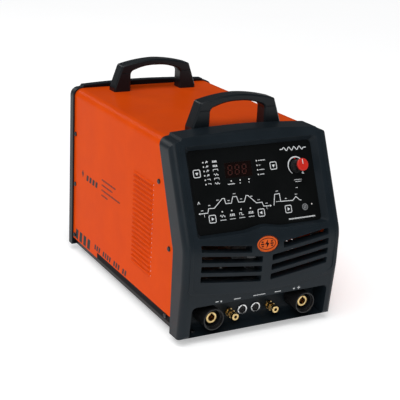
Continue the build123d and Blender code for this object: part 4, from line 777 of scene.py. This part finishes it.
class WELDER_OT_panel(bpy.types.Operator):
    """Finish the control panel and print its scales, captions and weld cycle diagram"""

    bl_idname = "welder.panel"
    bl_label = "Control Panel"

    def execute(self, context):
        dress("faceplate", "display_window", "display_digits", "status_leds", "encoder", "control_board")
        marks = Marks(on_panel)
        self.cycle(marks)
        self.mode_column(marks)
        self.unit_column(marks)
        self.rows(marks)
        self.scale(marks)
        self.flourish(marks)
        marks.finish("panel_print", white_ink())

        red = Marks(on_panel)
        red.dot((KNOB[0] - 0.5, KNOB[1] + 14.2), 1.5)
        red.finish("start_dot", material("knob_red"))

        segments = Marks(lambda x, up, rise: on_panel(x, up, rise - 0.2), 0.1)
        for digit in range(3):
            self.digit(segments, (-46.5 + 14.2 * digit, 111.8))
        segments.finish("display_segments", material("display_digit"))
        return {"FINISHED"}

    def cycle(self, marks):
        """Weld cycle: pre-flow, slopes, pulses, crater and post-flow, then the pulse shape."""
        marks.line([
            (-115.6, 43), (-101.9, 43), (-99.2, 50.3), (-88.2, 49.8), (-70.2, 64.6), (-66, 64.4), (-64.7, 55.3),
            (-53.4, 54.8), (-49.3, 65.4), (-41.6, 65.3), (-39, 55), (-27.6, 54.5), (-22.3, 65), (-18.6, 64.6),
            (-3.6, 49.8), (8.1, 49.8), (9.9, 42.7), (22, 41.9),
        ], 1.2)
        marks.triangle((24.2, 41.8), 2.4, 0)
        marks.triangle((-117.6, 43), 2.4, 180)
        marks.line([
            (31.3, 41.4), (35.9, 60.8), (45.8, 61), (46.4, 46.9),
            (72, 46.1), (79.2, 52.3), (87.1, 45), (90, 45),
        ], 1.2)
        marks.line([(36.5, 47.5), (45.6, 47.2)], 0.8)
        for x, up in (
            (-112, 48), (-97, 55.5), (-80, 63), (-58, 60), (-45.5, 70.5),
            (-33, 60), (-12, 62.5), (2, 54.8), (17, 47),
        ):
            marks.caption(x - 2.2, up, 4.6, 1.3, seed=int(abs(x)))
        for x, up in ((41, 66), (58, 51), (80, 56.5), (84, 68)):
            marks.caption(x - 2, up, 4.8, 1.3, seed=int(x))
        for x in (-109, 16):
            marks.line([(x, 36.6), (x, 41.5)], 0.7)
        marks.line([(-119, 59), (-116.5, 63.5), (-114.5, 59.5)], 1.0)

    def mode_column(self, marks):
        """Six rows beside the mode key: a torch or electrode sign and a current shape."""
        for row in range(6):
            up = 91.7 + 7.62 * row
            if row < 2:
                marks.line([(-93.2, up + 1), (-87.6, up + 1), (-87.6, up - 1.4)], 0.9)
            else:
                marks.line([(-93, up - 1.6), (-90.3, up + 1.8), (-87.8, up + 0.4)], 1.1)
                marks.line([(-90.6, up + 1.2), (-89.2, up - 1.4)], 0.8)
            left = -79.5
            right = left + 9
            if row in (1, 3):
                marks.line([(left, up - 1.4), (left, up + 1.6), (right, up + 1.6), (right, up - 1.4)], 0.9)
            elif row in (0, 2):
                wave = [(left + 9 * k / 8, up + 1.5 * math.sin(k * math.pi / 2)) for k in range(9)]
                marks.line(wave, 0.9)
            else:
                for pulse in range(3):
                    marks.bar((left + 1.4 + 3.1 * pulse, up + 0.6), 1.9, 2.2)
                marks.line([(left, up - 1.1), (left + 9.4, up - 1.1)], 0.9)

    def unit_column(self, marks):
        """Four rows between the display and the unit key, each with a short caption."""
        for row, length in enumerate((8.5, 10.0, 3.0, 15.0)):
            marks.caption(12.5, 99.0 + 8.2 * row, length, 1.6, seed=row + 2)

    def rows(self, marks):
        """Captions under the display's lamps, and current shapes under the lower lamps."""
        for x, length in ((-47.4, 15.0), (-29.6, 3.0), (-11.8, 3.0)):
            marks.caption(x - length / 2, 87.8, length, 1.7, seed=int(length))
        for column in range(4):
            x = -73.8 + 18.8 * column
            if column == 0:
                wave = [(x - 5 + k, 34.5 + 1.8 * math.sin(k * math.pi * 0.4)) for k in range(11)]
                marks.line(wave, 0.9)
            elif column == 2:
                marks.line([(x - 4, 32.5), (x - 4, 36.5), (x, 36.5), (x, 32.5), (x + 4, 32.5)], 0.9)
            else:
                for pulse in range(3):
                    marks.bar((x - 3.4 + 3.4 * pulse, 35.2), 1.8, 2.8)
                marks.line([(x - 5.4, 33.0), (x + 5.4, 33.0)], 0.8)
            marks.caption(x - 5.6, 27.6, 11.4, 1.4, seed=column)

    def scale(self, marks):
        """Swelling arc round the knob, its end pointer and a two-line caption."""
        marks.crescent(KNOB, 15.6, 2.0, -52, 232, 110)
        tip = math.radians(-47)
        marks.triangle((KNOB[0] + 18.0 * math.cos(tip), KNOB[1] + 18.0 * math.sin(tip)), 3.2, -47)
        for row, length in enumerate((17.0, 13.0)):
            marks.caption(KNOB[0] - length / 2, KNOB[1] - 24.5 - 3.4 * row, length, 1.3, seed=row)

    def flourish(self, marks):
        """Alternating-current wave at the upper right, and a plain ruled strip at the lower right."""
        wave = [(66 + 44 * k / 40, 139 + 3.0 * math.sin(k * math.pi * 8 / 40)) for k in range(41)]
        marks.line(wave, 1.5)
        marks.line([(60, 139), (66, 139)], 1.5)
        marks.line([(110, 139), (116, 139)], 1.5)
        marks.caption(58.0, 13.6, 57.0, 2.6, seed=4)

    def digit(self, marks, centre):
        """The seven unlit segments of a digit."""
        x, up = centre
        for level in (-1, 0, 1):
            marks.bar((x + 0.9 * level, up + 8.0 * level), 5.4, 1.4)
        for side in (-1, 1):
            for half in (-1, 1):
                marks.bar((x + 3.9 * side + 0.45 * half, up + 4.0 * half), 1.4, 5.6, slant=0.3)


class WELDER_OT_keys(bpy.types.Operator):
    """Finish the keys and print their outlines and arrows, which move with them"""

    bl_idname = "welder.keys"
    bl_label = "Keys"
    places = {
        "key_mode": (-112.6, 111.7, -90),
        "key_unit": (41.5, 111.7, -90),
        "key_back": (-95.0, 31.7, 0),
        "key_forward": (2.9, 31.7, 180),
        "key_pulse": (59.5, 31.7, 0),
    }

    def execute(self, context):
        for name, (x, up, heading) in self.places.items():
            dress(name)
            marks = Marks(self.on_key)
            marks.square((x, up), 14.2, 1.3)
            marks.triangle((x, up), 3.5, heading)
            marks.finish(name + "_print", white_ink(), name)
        dress("key_gas_test")
        grey = ink("grey ink", (0.33, 0.34, 0.35))
        marks = Marks(self.on_key)
        marks.ring((95.0, 31.7), 5.2, 0.9)
        marks.ring((95.0, 31.7), 2.3, 0.8, 20)
        marks.line([(92.6, 28.4), (97.2, 35.0)], 0.8)
        marks.finish("key_gas_test_print", grey, "key_gas_test")
        return {"FINISHED"}

    def on_key(self, x, up, rise):
        """Point on the faces of the keys, which stand out of the panel."""
        return on_panel(x, up, rise + KEY_FACE)


class WELDER_OT_knob(bpy.types.Operator):
    """Finish the control knob and set the pale pointer line in its cap"""

    bl_idname = "welder.knob"
    bl_label = "Knob"

    def execute(self, context):
        dress("knob_body", "knob_cap")
        marks = Marks(lambda x, up, rise: on_panel(x, up, rise + KNOB_FACE), 0.5)
        marks.bar((KNOB[0], KNOB[1] + 5.2), 1.35, 8.6)
        marks.finish("knob_pointer", white_ink(), "knob")
        return {"FINISHED"}


class WELDER_OT_badge(bpy.types.Operator):
    """Finish the oval badge and print a rim, a spark sign and plain bars on it"""

    bl_idname = "welder.badge"
    bl_label = "Badge"

    def execute(self, context):
        dress("badge")
        low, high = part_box("badge")
        middle = (low + high) / 2
        place = laid_on("badge", lambda x, up: Vector((x * MM, low.y - 0.02, middle.z + up * MM)), -FRONT)
        marks = Marks(place, 0.15)
        for across, up, width in ((21.5, 13.6, 0.9), (17.0, 9.4, 1.1)):
            turns = [k * math.pi / 24 for k in range(48)]
            marks.line([(across * math.cos(turn), up * math.sin(turn)) for turn in turns], width, closed=True)
        marks.fill([(1.9, 7.2), (-4.8, -0.8), (-0.7, -0.8), (-2.1, -7.2), (4.8, 1.2), (0.7, 1.2)])
        for side in (-1, 1):
            for row, length in enumerate((4.2, 6.6, 4.2)):
                marks.bar((side * 9.6, 3.7 - 3.7 * row), length, 2.1)
        marks.finish("badge_print", dark_ink())
        return {"FINISHED"}


class WELDER_OT_sockets(bpy.types.Operator):
    """Finish the weld sockets, gas fittings and remote sockets, and mark them"""

    bl_idname = "welder.sockets"
    bl_label = "Sockets"

    def execute(self, context):
        for side in ("left", "right"):
            dress(f"weld_shroud_{side}", f"weld_contact_{side}", f"gas_fitting_{side}")
            dress(f"remote_shell_{side}", f"remote_pins_{side}")
        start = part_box("front_bezel")[0].y - 0.02
        place = laid_on("front_bezel", lambda x, z: Vector((x * MM, start, z * MM)), -FRONT)
        marks = Marks(place)
        for x in (-84, 67):
            marks.triangle((x, 80.8), 2.4, -90)
        marks.line([(-95, 81.2), (-89, 81.2)], 1.2)
        marks.line([(74, 81.2), (80, 81.2)], 1.2)
        marks.line([(77, 78.4), (77, 84)], 1.2)
        for x, length in ((-51, 13), (-14, 9), (-1, 14), (33, 13)):
            marks.caption(x - length / 2, 80.6, length, 1.7, seed=int(length))
        marks.finish("socket_print", white_ink())
        return {"FINISHED"}


class WELDER_OT_sides(bpy.types.Operator):
    """Print dark marks on both sides of the cover and set a chrome dot at each louvre's front end as a painted
    glint
    """

    bl_idname = "welder.sides"
    bl_label = "Side Marks"

    def execute(self, context):
        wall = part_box("cover")[1].x + 0.02
        for name, side in (("left", -1), ("right", 1)):
            inwards = Vector((-side, 0, 0))
            place = laid_on("cover", self.side_plane(side, wall), inwards)
            marks = Marks(place, 0.1)
            self.sign(marks)
            self.foot_row(marks)
            marks.finish(f"side_print_{name}", dark_ink())
            # Painted glint: small chrome dots stand in for the bright glints at the louvres' front ends.
            glint_dots = Marks(laid_on("cover", lambda y, z: Vector((side * wall, y * MM, z * MM)), inwards), 0.35)
            for row in range(LOUVRES):
                glint_dots.dot((LOUVRE_FRONT - 1.6, LOUVRE_LOW + row * LOUVRE_PITCH), 1.35, 12)
            glint_dots.finish(f"louvre_glint_dots_{name}", material("chrome"))
        return {"FINISHED"}

    def side_plane(self, side, wall):
        """Across from left to right as someone beside the machine sees it, and up from the floor."""
        if side < 0:
            return lambda across, up: Vector((-wall, -across * MM, up * MM))
        return lambda across, up: Vector((wall, (across + RIGHT_SHIFT) * MM, up * MM))

    def sign(self, marks):
        """A plain diamond and slanted blocks, with four short lines of caption beside them."""
        marks.fill([(-200, 186), (-195, 193), (-190, 186), (-195, 177)])
        for block in range(4):
            marks.bar((-170 + 15.5 * block, 182), 9.5, 12, slant=1.2)
        for row, length in enumerate((66, 52, 88, 30)):
            marks.caption(-97, 201 - 10.5 * row, length, 3.4, seed=row, dash=3.2)

    def foot_row(self, marks):
        """Slanted blocks along the foot of the side: four large and a broken row of small ones."""
        for block in range(4):
            marks.bar((-223 + 21.5 * block, 43), 14, 22, slant=1.5)
        for block in range(15):
            if block not in (3, 8, 12):
                marks.bar((-124 + 10.6 * block, 49.5), 6.6, 11.5, slant=1.6)


class WELDER_OT_rear(bpy.types.Operator):
    """Finish the rear: fan, guard, main switch, cable gland, gas inlet and earth stud"""

    bl_idname = "welder.rear"
    bl_label = "Rear"

    def execute(self, context):
        dress("fan_frame", "fan_rotor", "fan_guard", "main_switch", "switch_lever")
        dress("cable_gland", "gas_inlet", "earth_stud")
        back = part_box("rear_panel")[1].y + 0.02
        place = laid_on("rear_panel", lambda across, up: Vector((-across * MM, back, up * MM)), FRONT)
        plate = Marks(place, 0.6)
        plate.fill(self.plate_outline(-48, 218, 46, 258, 3))
        plate.finish("data_plate", material("aluminium"))
        marks = Marks(place, 0.68)
        marks.line(self.plate_outline(-45, 221, 43, 255, 2), 0.6, closed=True)
        for row in range(5):
            marks.caption(-42, 250.0 - 6.0 * row, 50 - 7 * (row % 3), 2.2, seed=row, dash=2.4)
            marks.line([(14, 250.0 - 6.0 * row), (41, 250.0 - 6.0 * row)], 0.5)
        marks.line([(12, 223), (12, 253)], 0.5)
        marks.finish("data_plate_print", dark_ink())
        signs = Marks(place, 0.1)
        self.switch_signs(signs)
        self.fan_arrow(signs)
        signs.finish("rear_print", white_ink())
        return {"FINISHED"}

    def plate_outline(self, left, low, right, high, corner):
        """Rounded rectangle."""
        outline = []
        corners = (
            (0, right, high, -1, -1), (90, left, high, 1, -1), (180, left, low, 1, 1), (270, right, low, -1, 1),
        )
        for turn, x, up, inward, upward in corners:
            outline += turned_points((x + inward * corner, up + upward * corner), corner, turn, turn + 90, 4)
        return outline

    def switch_signs(self, marks):
        """A bar for on and a ring for off, beside the main switch."""
        marks.line([(128, 300), (128, 310)], 1.6)
        marks.ring((128, 264), 5, 1.4)

    def fan_arrow(self, marks):
        """Arc arrow that shows how the fan turns."""
        marks.line(turned_points((0, 118), 90, 64, 88, 12), 1.6)
        tip = math.radians(62)
        marks.triangle((90 * math.cos(tip), 118 + 90 * math.sin(tip)), 3.4, -28)


class WELDER_OT_inside(bpy.types.Operator):
    """Finish the pieces inside the case"""

    bl_idname = "welder.inside"
    bl_label = "Inside"

    def execute(self, context):
        dress("inner_front_plate", "front_posts", "shelf", "heatsinks", "main_transformer", "output_choke")
        dress("inverter_board", "capacitors", "gas_valve")
        return {"FINISHED"}


class WELDER_PT_tools(bpy.types.Panel):
    """Buttons and settings of the welding machine"""

    bl_idname = "WELDER_PT_tools"
    bl_label = "TIG Welding Machine"
    bl_space_type = "VIEW_3D"
    bl_region_type = "UI"
    bl_category = "Welder"

    def draw(self, context):
        for operator in OPERATORS:
            self.layout.operator(operator.bl_idname)
        for settings in (context.scene.welder_case, context.scene.welder_panel, context.scene.welder_stage):
            box = self.layout.box()
            for name in settings.bl_rna.properties.keys():
                if name not in ("rna_type", "name"):
                    box.prop(settings, name)


SETTINGS = {"welder_case": WELDER_PG_case, "welder_panel": WELDER_PG_panel, "welder_stage": WELDER_PG_stage}
OPERATORS = (
    WELDER_OT_stage, WELDER_OT_case, WELDER_OT_handles, WELDER_OT_panel, WELDER_OT_keys, WELDER_OT_knob,
    WELDER_OT_badge, WELDER_OT_sockets, WELDER_OT_sides, WELDER_OT_rear, WELDER_OT_inside,
)


def register():
    for name, group in SETTINGS.items():
        bpy.utils.register_class(group)
        setattr(bpy.types.Scene, name, bpy.props.PointerProperty(type=group))
    for made in (*OPERATORS, WELDER_PT_tools):
        bpy.utils.register_class(made)


def unregister():
    for made in (WELDER_PT_tools, *reversed(OPERATORS)):
        bpy.utils.unregister_class(made)
    for name, group in SETTINGS.items():
        delattr(bpy.types.Scene, name)
        bpy.utils.unregister_class(group)


def main():
    register()
    for operator in OPERATORS:
        family, name = operator.bl_idname.split(".")
        getattr(getattr(bpy.ops, family), name)()


if __name__ == "__main__":
    main()
